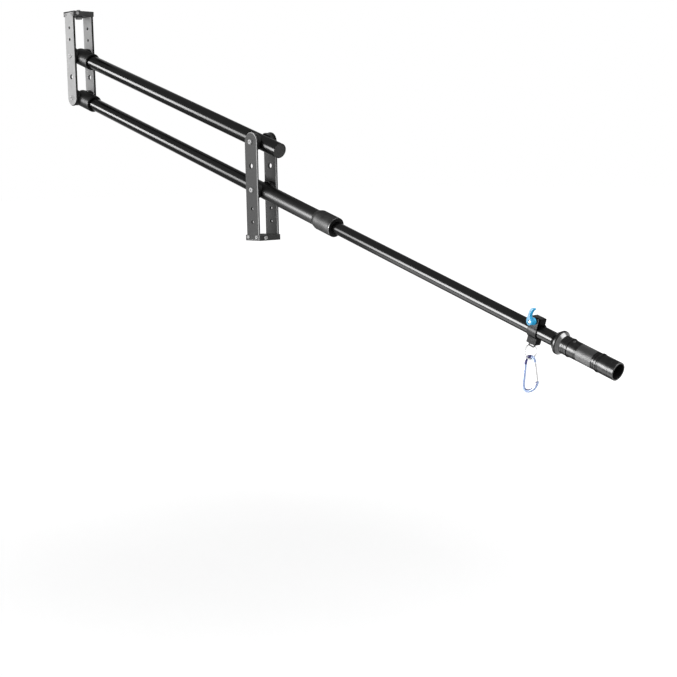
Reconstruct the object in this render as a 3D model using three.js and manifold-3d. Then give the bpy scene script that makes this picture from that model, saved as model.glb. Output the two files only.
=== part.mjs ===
// A small camera jib crane: two arms, one over the other, pinned between a base bracket and a
// camera bracket, so that the camera bracket stays upright as the arms tilt.
// Millimetres. The origin is the centre of the base block's underside, +Z is up, +X points to the
// handle, and -Y is the side that carries the clamp's lever.
import * as THREE from 'three';
import { mergeVertices } from 'three/addons/utils/BufferGeometryUtils.js';
import Module from 'manifold-3d';

const wasm = await Module();
wasm.setup();

// Driving dimensions
const pivotSpacing = 100;
const armReach = 718;
const restTilt = THREE.MathUtils.degToRad(18.08);
const plateWidth = 39.5;
const plateThickness = 4.6;
const squareEnd = 104.5;
const upperTube = 15.9;
const extensionTube = 12.4;

// Clearances and finishing sizes
const fitGap = 0.3;
const overrun = 5;
const roundSides = 24;
const smallSides = 12;
const screwSides = 8;
const hexSides = 6;

// Bracket plates
const plateChamfer = 0.7;
const plateCorner = 1.5;
const middleHole = 5;
const spareHole = 2.75;
const spareHoleInner = 39.2;
const spareHoleOuter = 66.8;
const cornerScrewSpacing = 27;
const cornerScrewEdge = 6;

// Cross blocks, alike in both brackets
const blockOverhang = 3.75;
const blockLength = plateWidth + 2 * blockOverhang;
const blockThickness = 12;
const blockLedge = 1.5;
const blockChamfer = 0.8;
const baseLockOffset = 13;
const cameraLockOffset = 19;

// Fasteners
const cornerShank = 2;
const cornerHead = 3.5;
const cornerHeadHeight = 2.2;
const cornerBite = 9;
const lockShank = 2.4;
const lockHead = 3.75;
const lockHeadHeight = 3;
const lockBite = 6;
const socketDepthShare = 0.55;
const socketWidthShare = 0.5;
const pivotShank = 3;
const pivotHole = pivotShank + fitGap;
const pivotHead = 5;
const pivotHeadHeight = 3;
const nutRadius = 5.6;
const nutHeight = 5;
const nutTail = 1.5;

// Threaded insert in the base block, and camera screw
const insertOuter = 7;
const insertWall = 2.8;
const insertBore = insertOuter - insertWall;
const insertFlangeStep = 2.5;
const insertFlange = insertOuter + insertFlangeStep;
const insertFlangeHeight = 1.5;
const cameraShank = 4.7;
const cameraStand = 4.5;
const cameraHead = 8;
const cameraHeadHeight = 5;
const cameraHeadFlutes = 14;
const fluteRadius = 1.2;
const fluteRim = 0.6;
const cameraWasher = 9.5;
const cameraWasherHeight = 1;

// Arms. The extension slides in the lower tube, and a sleeve covers the lower tube behind the base.
const extensionWall = 1.5;
const extensionBore = extensionTube - extensionWall;
const extensionInner = 100;
const slideGap = 0.5;
const lowerBore = extensionTube + slideGap;
const lowerWall = 2.1;
const lowerTube = lowerBore + lowerWall;
const sleeveWall = 1;
const sleeveTube = lowerTube + fitGap + sleeveWall;
const sleeveStart = 26;
const upperWall = 1.9;
const upperBore = upperTube - upperWall;
const upperTail = 65;
const tubeFrontShort = 4;

// Arm caps at the camera end
const capWall = 3.8;
const capRadius = upperTube + fitGap + capWall;
const capFront = 10;
const capRear = 56;
const capRound = 12;
const capNose = capRadius - capRound;
const capLip = 0.8;
const capSteps = 5;

// Friction discs between arm and plate, which set the room between a bracket's plates
const discRadius = 18.5;
const discInner = 13;
const discChamfer = 0.8;
const discFace = 3.5;
const bracketGap = 2 * (capRadius + discFace);

// End plugs
const plugDepth = 12;
const plugWall = 3;
const plugRecess = 0.6;
const innerPlugGap = 0.25;
const innerPlugLip = lowerBore - innerPlugGap;
const innerPlugLength = 14;
const innerPlugLipLength = 4;

// Twist collar, collet and wiper
const collarStart = 183;
const collarTaper = 10;
const collarLength = 58;
const sleeveReach = 22;
const lowerTubeReach = 9;
const colletStep = 1;
const colletRadius = sleeveTube + colletStep;
const colletWall = 2.1;
const colletSlots = 4;
const colletSlotWidth = 1.6;
const colletSlotLength = 15;
const collarSkin = 2.8;
const collarRadius = colletRadius + fitGap + collarSkin;
const collarWall = 2.6;
const collarLip = 0.8;
const wiperWall = 1;
const wiperThickness = 2;
const collarMouth = extensionTube + fitGap + wiperWall + fitGap;

// Handle on the extension's end, from the weight stop to the open tail
const stopStart = 820;
const stopTaper = 9;
const stopFlange = 6;
const stopShoulder = 6;
const neckLength = 12.9;
const gripLength = 64;
const tailLength = 38.1;
const mouthDepth = 26;
const handleBore = extensionTube + fitGap;
const handleWall = 3.7;
const handleRadius = handleBore + handleWall;
const stopStep = 5.3;
const stopRadius = handleRadius + stopStep;
const stopRound = 1.2;
const gripStep = 0.5;
const gripRadius = handleRadius - gripStep;
const ringStep = 0.8;
const handleRing = handleRadius + ringStep;
const ringWidth = 2.2;
const grooveDepth = 0.7;
const grooveWidth = 1.6;
const grooveStep = 4.2;
const gripGrooves = 2;
const mouthStep = 1.3;
const tailBore = handleBore + mouthStep;
const handleLip = 0.8;
const setScrewRadius = 2;
const setScrewHeight = 2.6;
const setScrewInset = 7.6;
const setScrewTurn = THREE.MathUtils.degToRad(20);

// Clamp on the extension
const clampStandOff = 44;
const clampLength = 20;
const clampBore = extensionTube + fitGap;
const earThickness = 2.3;
const clampBand = clampBore + earThickness;
const slitWidth = 2.7;
const clampScrewRise = 3.3;
const clampScrewHeight = clampBand + clampScrewRise;
const clampScrewRadius = 2.4;
const clampScrewTail = 1.5;
const earRise = 6.7;
const earTop = clampScrewHeight + earRise;
const topBlockFar = 6.5;
const topBlockRoot = 4;
const bottomBlockWidth = 14.8;
const bottomBlockDepth = 9.6;
const bottomBlockDrop = clampBand + bottomBlockDepth;
const clampEdge = 1.4;

// Thumb lever
const hubRadius = 5.8;
const hubFoot = 6.6;
const hubFootHeight = 4;
const hubLength = 13;
const leverWidth = 8.3;
const leverReach = 26;
const leverShares = [
  [-0.20, -0.12], [-0.31, 0.12], [-0.40, 0.36], [-0.38, 0.58], [-0.26, 0.80], [-0.04, 0.97],
  [0.12, 1.00], [0.17, 0.93], [0.09, 0.84], [0.01, 0.70], [-0.04, 0.52], [0.00, 0.34],
  [0.10, 0.22], [0.21, 0.10], [0.10, -0.16],
];

// Eye, split ring and carabiner
const eyeWire = 1.25;
const eyeSpan = 12;
const eyeShift = -2;
const eyeDrop = 6.4;
const eyeRoot = 7;
const eyeCorner = 2.5;
const eyeSteps = 14;
const ringRadius = 13.3;
const ringWire = 1.1;
const ringBreadth = 1.4;
const ringTurn = THREE.MathUtils.degToRad(-9);
const ringSlide = 3;
const ringShift = eyeShift - ringSlide;
const linkGap = 0.15;
const carabinerWidth = 25;
const carabinerHeight = 61.6;
const carabinerRod = 3;
const carabinerSteps = 32;
const carabinerTurn = THREE.MathUtils.degToRad(-68);
const carabinerLean = THREE.MathUtils.degToRad(-2.5);
const carabinerShares = [
  [0.31, -0.145], [0.16, -0.02], [-0.02, 0.00], [-0.22, -0.035], [-0.33, -0.13],
  [-0.38, -0.35], [-0.42, -0.62], [-0.44, -0.86], [-0.36, -0.955], [-0.20, -0.995], [0.02, -0.99],
  [0.24, -0.945], [0.43, -0.86], [0.545, -0.70],
];
const gateStep = 0.4;
const gateRod = carabinerRod - gateStep;
const gatePinRadius = 0.8;
const gatePinGap = 0.2;
const gatePinStand = 0.7;
const gatePinPlace = gateRod + gatePinStand;
const gateGap = 0.5;
const tongueThickness = 1.7;
const tongueRound = gateRod - fitGap;

// Worked-out places
const insideFace = bracketGap / 2;
const outsideFace = insideFace + plateThickness;
const basePivotHeight = blockLedge + squareEnd;
const roundEnd = plateWidth / 2;
const armLow = new THREE.Vector3(0, 0, basePivotHeight);
const armHigh = new THREE.Vector3(0, 0, basePivotHeight + pivotSpacing);
const armForward = new THREE.Vector3(-Math.cos(restTilt), 0, Math.sin(restTilt));
const frontLow = armLow.clone().addScaledVector(armForward, armReach);
const tubeFront = -armReach - tubeFrontShort;
const collarShoulder = collarStart + collarTaper;
const collarEnd = collarStart + collarLength;
const sleeveEnd = collarStart + sleeveReach;
const lowerTubeEnd = sleeveEnd + lowerTubeReach;
const stopRise = stopStart + stopTaper;
const stopFall = stopRise + stopFlange;
const stopNeck = stopFall + stopShoulder;
const firstJoint = stopNeck + neckLength;
const secondJoint = firstJoint + gripLength;
const handleEnd = secondJoint + tailLength;
const extensionEnd = handleEnd - mouthDepth;
const setScrewPlace = firstJoint + setScrewInset;
const clampMiddle = stopStart - clampStandOff;

const finishes = {
  baseAluminium: new THREE.MeshStandardMaterial({ color: 0x6a6b6d, roughness: 0.5, metalness: 0.8 }),
  frontAluminium: new THREE.MeshStandardMaterial({ color: 0xc4c5c6, roughness: 0.5, metalness: 0.6 }),
  blackTube: new THREE.MeshStandardMaterial({ color: 0x1c1c1d, roughness: 0.2, metalness: 0.6 }),
  satinBlack: new THREE.MeshStandardMaterial({ color: 0x343536, roughness: 0.45, metalness: 0.5 }),
  blackPlastic: new THREE.MeshStandardMaterial({ color: 0x141415, roughness: 0.6, metalness: 0 }),
  steel: new THREE.MeshStandardMaterial({ color: 0xd5d6d8, roughness: 0.25, metalness: 1 }),
  blueAnodised: new THREE.MeshStandardMaterial({ color: 0x2aa4d8, roughness: 0.3, metalness: 0.7 }),
  violetAnodised: new THREE.MeshStandardMaterial({ color: 0x7f8fd0, roughness: 0.25, metalness: 0.8 }),
};

// Keeps only positions, joins shared corners, drops collapsed faces and turns the faces outwards.
function closed(geometry) {
  geometry.deleteAttribute('normal');
  geometry.deleteAttribute('uv');
  const merged = mergeVertices(geometry);
  const place = merged.getAttribute('position');
  const corners = [0, 1, 2].map(() => new THREE.Vector3());
  const kept = [];
  let volume = 0;
  for (let i = 0; i < merged.index.count; i += 3) {
    const face = [0, 1, 2].map((k) => merged.index.getX(i + k));
    if (new Set(face).size < 3) continue;
    face.forEach((v, k) => corners[k].fromBufferAttribute(place, v));
    volume += corners[0].dot(corners[1].clone().cross(corners[2]));
    kept.push(face);
  }
  const faces = volume < 0 ? kept.map(([a, b, c]) => [a, c, b]) : kept;
  merged.setIndex(faces.flat());
  return merged;
}

function toSolid(geometry) {
  const merged = closed(geometry);
  return new wasm.Manifold(new wasm.Mesh({
    numProp: 3,
    vertProperties: new Float32Array(merged.getAttribute('position').array),
    triVerts: new Uint32Array(merged.index.array),
  }));
}

function toGeometry(solid) {
  const mesh = solid.getMesh();
  const geometry = new THREE.BufferGeometry();
  geometry.setAttribute('position', new THREE.BufferAttribute(mesh.vertProperties, 3));
  geometry.setIndex(new THREE.BufferAttribute(mesh.triVerts, 1));
  return geometry;
}

function cut(body, ...tools) {
  return toGeometry(tools.reduce((left, tool) => left.subtract(toSolid(tool)), toSolid(body)));
}

function join(...bodies) {
  return toGeometry(bodies.map(toSolid).reduce((whole, next) => whole.add(next)));
}

function common(first, second) {
  return toGeometry(toSolid(first).intersect(toSolid(second)));
}

// A turned shape from [place along the axis, radius] pairs. Its axis is X.
function turnedAlong(profile, sides = roundSides) {
  const points = profile.map(([along, radius]) => new THREE.Vector2(radius, along));
  return new THREE.LatheGeometry(points, sides).rotateZ(-Math.PI / 2);
}

// The same, with Y as the axis.
function turnedAcross(profile, sides = smallSides) {
  return new THREE.LatheGeometry(profile.map(([along, radius]) => new THREE.Vector2(radius, along)), sides);
}

function pipe(start, end, outer, inner, sides = roundSides) {
  return turnedAlong([[start, inner], [start, outer], [end, outer], [end, inner], [start, inner]], sides);
}

function barAlong(start, end, radius, sides = roundSides) {
  return turnedAlong([[start, 0], [start, radius], [end, radius], [end, 0]], sides);
}

function barAcross(start, end, radius, sides = smallSides) {
  return turnedAcross([[start, 0], [start, radius], [end, radius], [end, 0]], sides);
}

function barUp(start, end, radius, sides = smallSides) {
  return barAcross(start, end, radius, sides).rotateX(Math.PI / 2);
}

function box(low, high) {
  const size = high.map((value, k) => value - low[k]);
  const middle = high.map((value, k) => (value + low[k]) / 2);
  return new THREE.BoxGeometry(...size).translate(...middle);
}

// A plate with every edge chamfered, lying in XZ and reaching from zero towards -Y.
function chamferedPlate(shape, thickness, chamfer, arcSteps = roundSides / 2) {
  return new THREE.ExtrudeGeometry(shape, {
    depth: thickness - 2 * chamfer,
    bevelThickness: chamfer,
    bevelSize: chamfer,
    bevelOffset: -chamfer,
    bevelSegments: 1,
    curveSegments: arcSteps,
  }).translate(0, 0, chamfer).rotateX(Math.PI / 2);
}

// A screw along +X from its seat at zero: the head lies on the -X side, with a round socket.
function screw(head, headHeight, shank, length) {
  const socket = head * socketWidthShare;
  return turnedAlong([
    [-headHeight * (1 - socketDepthShare), 0],
    [-headHeight * (1 - socketDepthShare), socket],
    [-headHeight, socket],
    [-headHeight, head - shank / 4],
    [-headHeight + shank / 4, head],
    [0, head],
    [0, shank],
    [length, shank],
    [length, 0],
  ], screwSides);
}

function piece(name, geometry, finish, parent) {
  const mesh = new THREE.Mesh(closed(geometry), finishes[finish]);
  mesh.name = name;
  parent.add(mesh);
  return mesh;
}

function frame(parent, position = new THREE.Vector3(), tilt = 0) {
  const group = new THREE.Group();
  group.position.copy(position);
  group.rotation.y = tilt;
  parent.add(group);
  return group;
}

// All four plates are this one: round at one end, square at the other, origin at the pivot that
// is nearer the square end.
function bracketPlate() {
  const half = roundEnd;
  const foot = -squareEnd;
  const outline = new THREE.Shape();
  outline.moveTo(-half + plateCorner, foot);
  outline.lineTo(half - plateCorner, foot);
  outline.lineTo(half, foot + plateCorner);
  outline.lineTo(half, pivotSpacing);
  outline.absarc(0, pivotSpacing, half, 0, Math.PI);
  outline.lineTo(-half, foot + plateCorner);
  outline.lineTo(-half + plateCorner, foot);
  const hole = (x, y, radius, sides) => barAcross(-plateThickness - overrun, overrun, radius, sides)
    .translate(x, 0, y);
  const screwHole = cornerShank + fitGap;
  return cut(
    chamferedPlate(outline, plateThickness, plateChamfer),
    hole(0, 0, pivotHole, smallSides),
    hole(0, pivotSpacing, pivotHole, smallSides),
    hole(0, pivotSpacing / 2, middleHole, smallSides),
    hole(0, -spareHoleInner, spareHole, screwSides),
    hole(0, -spareHoleOuter, spareHole, screwSides),
    hole(-cornerScrewSpacing / 2, foot + cornerScrewEdge, screwHole, screwSides),
    hole(cornerScrewSpacing / 2, foot + cornerScrewEdge, screwHole, screwSides),
  );
}

// The block that ties the two plates of a bracket, standing on z = 0 with a ledge under the plates.
function crossBlock(boreRadius, lockOffset, lockTurn) {
  const half = blockLength / 2;
  const outline = new THREE.Shape();
  outline.moveTo(-half, -outsideFace);
  outline.lineTo(half, -outsideFace);
  outline.lineTo(half, outsideFace);
  outline.lineTo(-half, outsideFace);
  outline.closePath();
  const body = chamferedPlate(outline, blockThickness, blockChamfer).rotateX(-Math.PI / 2);
  const pocketHalf = roundEnd + fitGap;
  const pockets = [-1, 1].map((side) => {
    const inner = side * insideFace;
    const outer = side * (outsideFace + overrun);
    return box(
      [-pocketHalf, Math.min(inner, outer), blockLedge],
      [pocketHalf, Math.max(inner, outer), blockThickness + overrun],
    );
  });
  const screwHoles = [-1, 1].flatMap((side) => [-1, 1].map((end) => {
    const tip = side * (insideFace - cornerBite - fitGap);
    const mouth = side * (insideFace + overrun);
    const hole = barAcross(Math.min(tip, mouth), Math.max(tip, mouth), cornerShank + fitGap, screwSides);
    return hole.translate((end * cornerScrewSpacing) / 2, 0, blockLedge + cornerScrewEdge);
  }));
  const lockHole = barAlong(half - lockBite - fitGap, half + overrun, lockShank + fitGap, screwSides)
    .rotateZ(lockTurn).translate(0, -lockOffset, blockThickness / 2);
  const bore = barUp(-overrun, blockThickness + overrun, boreRadius + fitGap);
  return cut(body, ...pockets, ...screwHoles, lockHole, bore);
}

function cornerScrews(prefix, parent, direction) {
  let count = 0;
  for (const side of [-1, 1]) {
    for (const end of [-1, 1]) {
      count += 1;
      const body = screw(cornerHead, cornerHeadHeight, cornerShank, plateThickness + cornerBite);
      const mesh = piece(`${prefix}_corner_screw_${count}`, body, 'steel', parent);
      mesh.rotation.z = (-side * Math.PI) / 2;
      mesh.position.set(
        (end * cornerScrewSpacing) / 2,
        side * outsideFace,
        direction * (blockLedge + cornerScrewEdge),
      );
    }
  }
}

// A bracket: cross block, two plates, corner screws and lock screw. Its group stands at the block's
// outer face, and `direction` is 1 where the plates rise from the block and -1 where they hang.
function bracket(prefix, parent, direction, boreRadius, lockOffset, plateFinish) {
  const turn = direction < 0 ? Math.PI : 0;
  const blockBody = crossBlock(boreRadius, lockOffset, turn);
  piece(`${prefix}_block`, blockBody, 'satinBlack', parent).rotation.y = turn;
  const pivot = new THREE.Vector3(0, 0, direction * (blockLedge + squareEnd));
  for (const [side, label] of [[-1, 'near'], [1, 'far']]) {
    const plate = piece(`${prefix}_plate_${label}`, bracketPlate(), plateFinish, parent);
    plate.position.copy(pivot).setY(side < 0 ? -insideFace : outsideFace);
    plate.rotation.y = turn;
  }
  cornerScrews(prefix, parent, direction);
  const lock = screw(lockHead, lockHeadHeight, lockShank, lockBite);
  const lockMesh = piece(`${prefix}_lock_screw`, lock, 'steel', parent);
  lockMesh.rotation.z = Math.PI;
  lockMesh.position.set(blockLength / 2, -lockOffset, (direction * blockThickness) / 2);
}

// A bolt across both plates with its nut on the far side.
function throughBolt(prefix, parent, place) {
  const length = outsideFace * 2 + nutHeight + nutTail;
  const body = screw(pivotHead, pivotHeadHeight, pivotShank, length);
  const bolt = piece(`${prefix}_bolt`, body, 'steel', parent);
  bolt.rotation.z = Math.PI / 2;
  bolt.position.copy(place).setY(-outsideFace);
  const nut = cut(
    barAcross(0, nutHeight, nutRadius, hexSides),
    barAcross(-overrun, nutHeight + overrun, pivotShank + fitGap, screwSides),
  );
  piece(`${prefix}_nut`, nut, 'steel', parent).position.copy(place).setY(outsideFace);
}

// A friction disc between an arm and a plate, hollowed to sit on the arm.
function frictionDisc(armRadius, side) {
  const outer = insideFace - fitGap;
  const disc = turnedAcross([
    [discInner, 0], [discInner, discRadius], [outer - discChamfer, discRadius],
    [outer, discRadius - discChamfer], [outer, 0],
  ], roundSides);
  const seat = barAlong(-discRadius - overrun, discRadius + overrun, armRadius + fitGap);
  const hole = barAcross(0, outer + overrun, pivotShank + fitGap);
  return cut(disc, seat, hole).rotateZ(side < 0 ? Math.PI : 0);
}

function discPair(prefix, parent, armRadius, along) {
  for (const [side, label] of [[-1, 'near'], [1, 'far']]) {
    const disc = piece(`${prefix}_disc_${label}`, frictionDisc(armRadius, side), 'blackPlastic', parent);
    disc.position.x = along;
  }
}

// The turned cap over an arm's camera end, with a rounded nose and a blind bore for the tube.
function armCap(tubeRadius) {
  const front = -armReach - capFront;
  const rear = -armReach + capRear;
  const bore = tubeRadius + fitGap;
  const profile = [[front, 0], [front, capNose]];
  for (let k = 1; k <= capSteps; k += 1) {
    const turn = (k / capSteps) * (Math.PI / 2);
    profile.push([
      front + capRound * (1 - Math.cos(turn)),
      capNose + (capRadius - capNose) * Math.sin(turn),
    ]);
  }
  profile.push(
    [rear - capLip, capRadius],
    [rear, capRadius - capLip],
    [rear, bore],
    [tubeFront - fitGap, bore],
    [tubeFront - fitGap, 0],
  );
  return cut(turnedAlong(profile), crossHole(-armReach, capRadius));
}

function crossHole(along, radius) {
  return barAcross(-radius - overrun, radius + overrun, pivotShank + fitGap).translate(along, 0, 0);
}

function endPlug() {
  const body = upperBore - fitGap;
  const face = upperTail - plugRecess;
  return turnedAlong([
    [face - plugDepth, body - plugWall], [face - plugDepth, body], [face, body], [face, 0],
    [face - plugWall, 0], [face - plugWall, body - plugWall], [face - plugDepth, body - plugWall],
  ]);
}

// Base bracket
const crane = new THREE.Group();
const base = frame(crane);
bracket('base', base, 1, insertOuter, baseLockOffset, 'baseAluminium');
piece('tripod_insert', turnedAlong([
  [0, insertBore], [0, insertOuter], [blockThickness, insertOuter], [blockThickness, insertFlange],
  [blockThickness + insertFlangeHeight, insertFlange], [blockThickness + insertFlangeHeight, insertBore],
  [0, insertBore],
], smallSides).rotateY(-Math.PI / 2), 'steel', base);
throughBolt('base_upper', base, armHigh);

// Two short screws carry the lower arm, because the extension slides between them
for (const [side, label] of [[-1, 'near'], [1, 'far']]) {
  const length = outsideFace - lowerBore - fitGap;
  const body = screw(pivotHead, pivotHeadHeight, pivotShank, length);
  const mesh = piece(`base_lower_screw_${label}`, body, 'steel', base);
  mesh.rotation.z = (-side * Math.PI) / 2;
  mesh.position.copy(armLow).setY(side * outsideFace);
}

// Upper arm
const upperArm = frame(crane, armHigh, restTilt);
piece('upper_tube', cut(
  pipe(tubeFront, upperTail, upperTube, upperBore),
  crossHole(0, upperTube),
  crossHole(-armReach, upperTube),
), 'blackTube', upperArm);
piece('upper_front_cap', armCap(upperTube), 'satinBlack', upperArm);
piece('upper_rear_plug', endPlug(), 'blackPlastic', upperArm);
discPair('upper_base', upperArm, upperTube, 0);
discPair('upper_front', upperArm, capRadius, -armReach);

// Lower arm
const lowerArm = frame(crane, armLow, restTilt);
piece('lower_tube', cut(
  pipe(tubeFront, lowerTubeEnd, lowerTube, lowerBore),
  crossHole(0, lowerTube),
  crossHole(-armReach, lowerTube),
), 'blackTube', lowerArm);
piece('lower_sleeve', cut(
  pipe(-sleeveStart, sleeveEnd, sleeveTube, lowerTube + fitGap),
  crossHole(0, sleeveTube),
), 'blackTube', lowerArm);
piece('lower_front_cap', armCap(lowerTube), 'satinBlack', lowerArm);
discPair('lower_base', lowerArm, sleeveTube, 0);
discPair('lower_front', lowerArm, capRadius, -armReach);
// Collet on the lower arm's rear end
const colletEnd = collarEnd - collarWall - fitGap;
const colletSlotTools = [];
for (let k = 0; k < colletSlots; k += 1) {
  const slot = box(
    [colletEnd - colletSlotLength, 0, -colletSlotWidth / 2],
    [colletEnd + overrun, colletRadius + overrun, colletSlotWidth / 2],
  );
  colletSlotTools.push(slot.rotateX((k * Math.PI * 2) / colletSlots));
}
piece('collet', cut(turnedAlong([
  [sleeveEnd + fitGap, lowerTube + fitGap],
  [sleeveEnd + fitGap, colletRadius],
  [colletEnd - colletWall, colletRadius],
  [colletEnd, colletRadius - colletWall],
  [colletEnd, extensionTube + fitGap],
  [lowerTubeEnd + fitGap, extensionTube + fitGap],
  [lowerTubeEnd + fitGap, lowerTube + fitGap],
  [sleeveEnd + fitGap, lowerTube + fitGap],
]), ...colletSlotTools), 'blackPlastic', lowerArm);

// Twist collar over the collet
piece('twist_collar', turnedAlong([
  [collarStart, sleeveTube + fitGap],
  [collarShoulder, collarRadius],
  [collarEnd - collarLip, collarRadius],
  [collarEnd, collarRadius - collarLip],
  [collarEnd, collarMouth],
  [collarEnd - collarWall, collarMouth],
  [collarEnd - collarWall, colletRadius + fitGap],
  [sleeveEnd, colletRadius + fitGap],
  [sleeveEnd, sleeveTube + fitGap],
  [collarStart, sleeveTube + fitGap],
]), 'satinBlack', lowerArm);
piece('collar_wiper', pipe(
  collarEnd - wiperThickness,
  collarEnd,
  collarMouth - fitGap,
  extensionTube + fitGap,
), 'blackPlastic', lowerArm);

// Extension tube and its inner plug
piece('extension_tube', pipe(
  extensionInner,
  extensionEnd,
  extensionTube,
  extensionBore,
), 'blackTube', lowerArm);
piece('extension_inner_plug', turnedAlong([
  [extensionInner - innerPlugLipLength, 0],
  [extensionInner - innerPlugLipLength, innerPlugLip],
  [extensionInner - fitGap, innerPlugLip],
  [extensionInner - fitGap, extensionBore - fitGap],
  [extensionInner + innerPlugLength, extensionBore - fitGap],
  [extensionInner + innerPlugLength, 0],
]), 'blackPlastic', lowerArm);

// Handle: weight stop, grip and tail
piece('weight_stop', turnedAlong([
  [stopStart, handleBore],
  [stopRise, stopRadius - stopRound],
  [stopRise + stopRound, stopRadius],
  [stopFall - stopRound, stopRadius],
  [stopFall, stopRadius - stopRound],
  [stopNeck, handleRadius],
  [firstJoint - fitGap, handleRadius],
  [firstJoint - fitGap, handleBore],
  [stopStart, handleBore],
]), 'satinBlack', lowerArm);

const gripProfile = [
  [firstJoint, handleBore], [firstJoint, handleRing], [firstJoint + ringWidth, handleRing],
  [firstJoint + ringWidth, gripRadius],
];
for (let k = gripGrooves; k > 0; k -= 1) {
  const groove = secondJoint - k * grooveStep;
  gripProfile.push(
    [groove, gripRadius], [groove, gripRadius - grooveDepth],
    [groove + grooveWidth, gripRadius - grooveDepth], [groove + grooveWidth, gripRadius],
  );
}
gripProfile.push(
  [secondJoint - fitGap, gripRadius], [secondJoint - fitGap, handleBore], [firstJoint, handleBore],
);
const setScrewLow = gripRadius - setScrewHeight + fitGap;
const setScrewHole = barUp(setScrewLow - fitGap, gripRadius + overrun, setScrewRadius + fitGap, screwSides);
piece('handle_grip', cut(
  turnedAlong(gripProfile),
  setScrewHole.translate(setScrewPlace, 0, 0).rotateX(setScrewTurn),
), 'satinBlack', lowerArm);
piece('handle_set_screw', barUp(setScrewLow, setScrewLow + setScrewHeight, setScrewRadius, screwSides)
  .translate(setScrewPlace, 0, 0).rotateX(setScrewTurn), 'steel', lowerArm);

const tailGroove = secondJoint + ringWidth + grooveStep / 2;
piece('handle_tail', turnedAlong([
  [secondJoint, handleBore],
  [secondJoint, handleRing],
  [secondJoint + ringWidth, handleRing],
  [secondJoint + ringWidth, handleRadius],
  [tailGroove, handleRadius],
  [tailGroove, handleRadius - grooveDepth],
  [tailGroove + grooveWidth, handleRadius - grooveDepth],
  [tailGroove + grooveWidth, handleRadius],
  [handleEnd - handleLip, handleRadius],
  [handleEnd, handleRadius - handleLip],
  [handleEnd, tailBore],
  [extensionEnd + fitGap, tailBore],
  [extensionEnd + fitGap, handleBore],
  [secondJoint, handleBore],
]), 'satinBlack', lowerArm);

// Clamp: a band with a thin ear on the near side, a thick block on top and a block underneath
const clamp = frame(lowerArm, new THREE.Vector3(clampMiddle, 0, 0));
const clampHalf = clampLength / 2;
const earNear = -clampBand;
const slitNear = earNear + earThickness;
const slitFar = slitNear + slitWidth;

function clampSection(points) {
  const outline = new THREE.Shape(points.map(([y, z]) => new THREE.Vector2(y, z)));
  return new THREE.ExtrudeGeometry(outline, { depth: clampLength, bevelEnabled: false })
    .translate(0, 0, -clampHalf).rotateZ(Math.PI / 2).rotateY(Math.PI / 2);
}

function clampBody() {
  const low = bottomBlockWidth / 2;
  const bandSolid = pipe(-clampHalf, clampHalf, clampBand, clampBore - overrun);
  const topBlock = clampSection([
    [slitNear, 0], [slitNear, earTop], [topBlockFar - clampEdge, earTop],
    [topBlockFar, earTop - clampEdge], [topBlockFar, clampScrewHeight - hubRadius],
    [clampBand - clampEdge, topBlockRoot], [0, 0],
  ]);
  const ear = clampSection([
    [earNear, 0], [earNear, earTop], [slitFar, earTop], [slitFar, 0],
  ]);
  const bottomBlock = clampSection([
    [-low, 0], [low, 0], [low, -bottomBlockDrop + clampEdge], [low - clampEdge, -bottomBlockDrop],
    [-low + clampEdge, -bottomBlockDrop], [-low, -bottomBlockDrop + clampEdge],
  ]);
  const slit = box(
    [-clampHalf - overrun, slitNear, topBlockRoot],
    [clampHalf + overrun, slitFar, earTop + overrun],
  );
  const bore = barAlong(-clampHalf - overrun, clampHalf + overrun, clampBore);
  const screwHole = barAcross(earNear - overrun, topBlockFar + overrun, clampScrewRadius + fitGap)
    .translate(0, 0, clampScrewHeight);
  const eyeHoles = [-1, 1].map((side) => barUp(
    -bottomBlockDrop - overrun,
    -bottomBlockDrop + eyeRoot + fitGap,
    eyeWire + fitGap,
    screwSides,
  ).translate(eyeShift + (side * eyeSpan) / 2, 0, 0));
  return cut(join(bandSolid, topBlock, ear, bottomBlock), bore, slit, screwHole, ...eyeHoles);
}

piece('clamp_body', clampBody(), 'satinBlack', clamp);

// A rod bent along a path
function bentRod(path, radius, steps, sides) {
  const section = new THREE.Shape(Array.from({ length: sides }, (_, k) => {
    const turn = (k / sides) * Math.PI * 2;
    return new THREE.Vector2(radius * Math.cos(turn), radius * Math.sin(turn));
  }));
  return new THREE.ExtrudeGeometry(section, { steps, extrudePath: path, bevelEnabled: false });
}

const eyeHalf = eyeSpan / 2;
const eyeBottom = -bottomBlockDrop - eyeDrop;
const eyePath = new THREE.CurvePath();
const eyeCorners = [-1, 1].map((side) => ({
  top: new THREE.Vector3(eyeShift + side * eyeHalf, 0, -bottomBlockDrop + eyeRoot),
  high: new THREE.Vector3(eyeShift + side * eyeHalf, 0, eyeBottom + eyeCorner),
  bend: new THREE.Vector3(eyeShift + side * eyeHalf, 0, eyeBottom),
  low: new THREE.Vector3(eyeShift + side * (eyeHalf - eyeCorner), 0, eyeBottom),
}));
eyePath.add(new THREE.LineCurve3(eyeCorners[0].top, eyeCorners[0].high));
eyePath.add(new THREE.QuadraticBezierCurve3(eyeCorners[0].high, eyeCorners[0].bend, eyeCorners[0].low));
eyePath.add(new THREE.LineCurve3(eyeCorners[0].low, eyeCorners[1].low));
eyePath.add(new THREE.QuadraticBezierCurve3(eyeCorners[1].low, eyeCorners[1].bend, eyeCorners[1].high));
eyePath.add(new THREE.LineCurve3(eyeCorners[1].high, eyeCorners[1].top));
piece('clamp_eye', bentRod(eyePath, eyeWire, eyeSteps, hexSides), 'steel', clamp);

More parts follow.
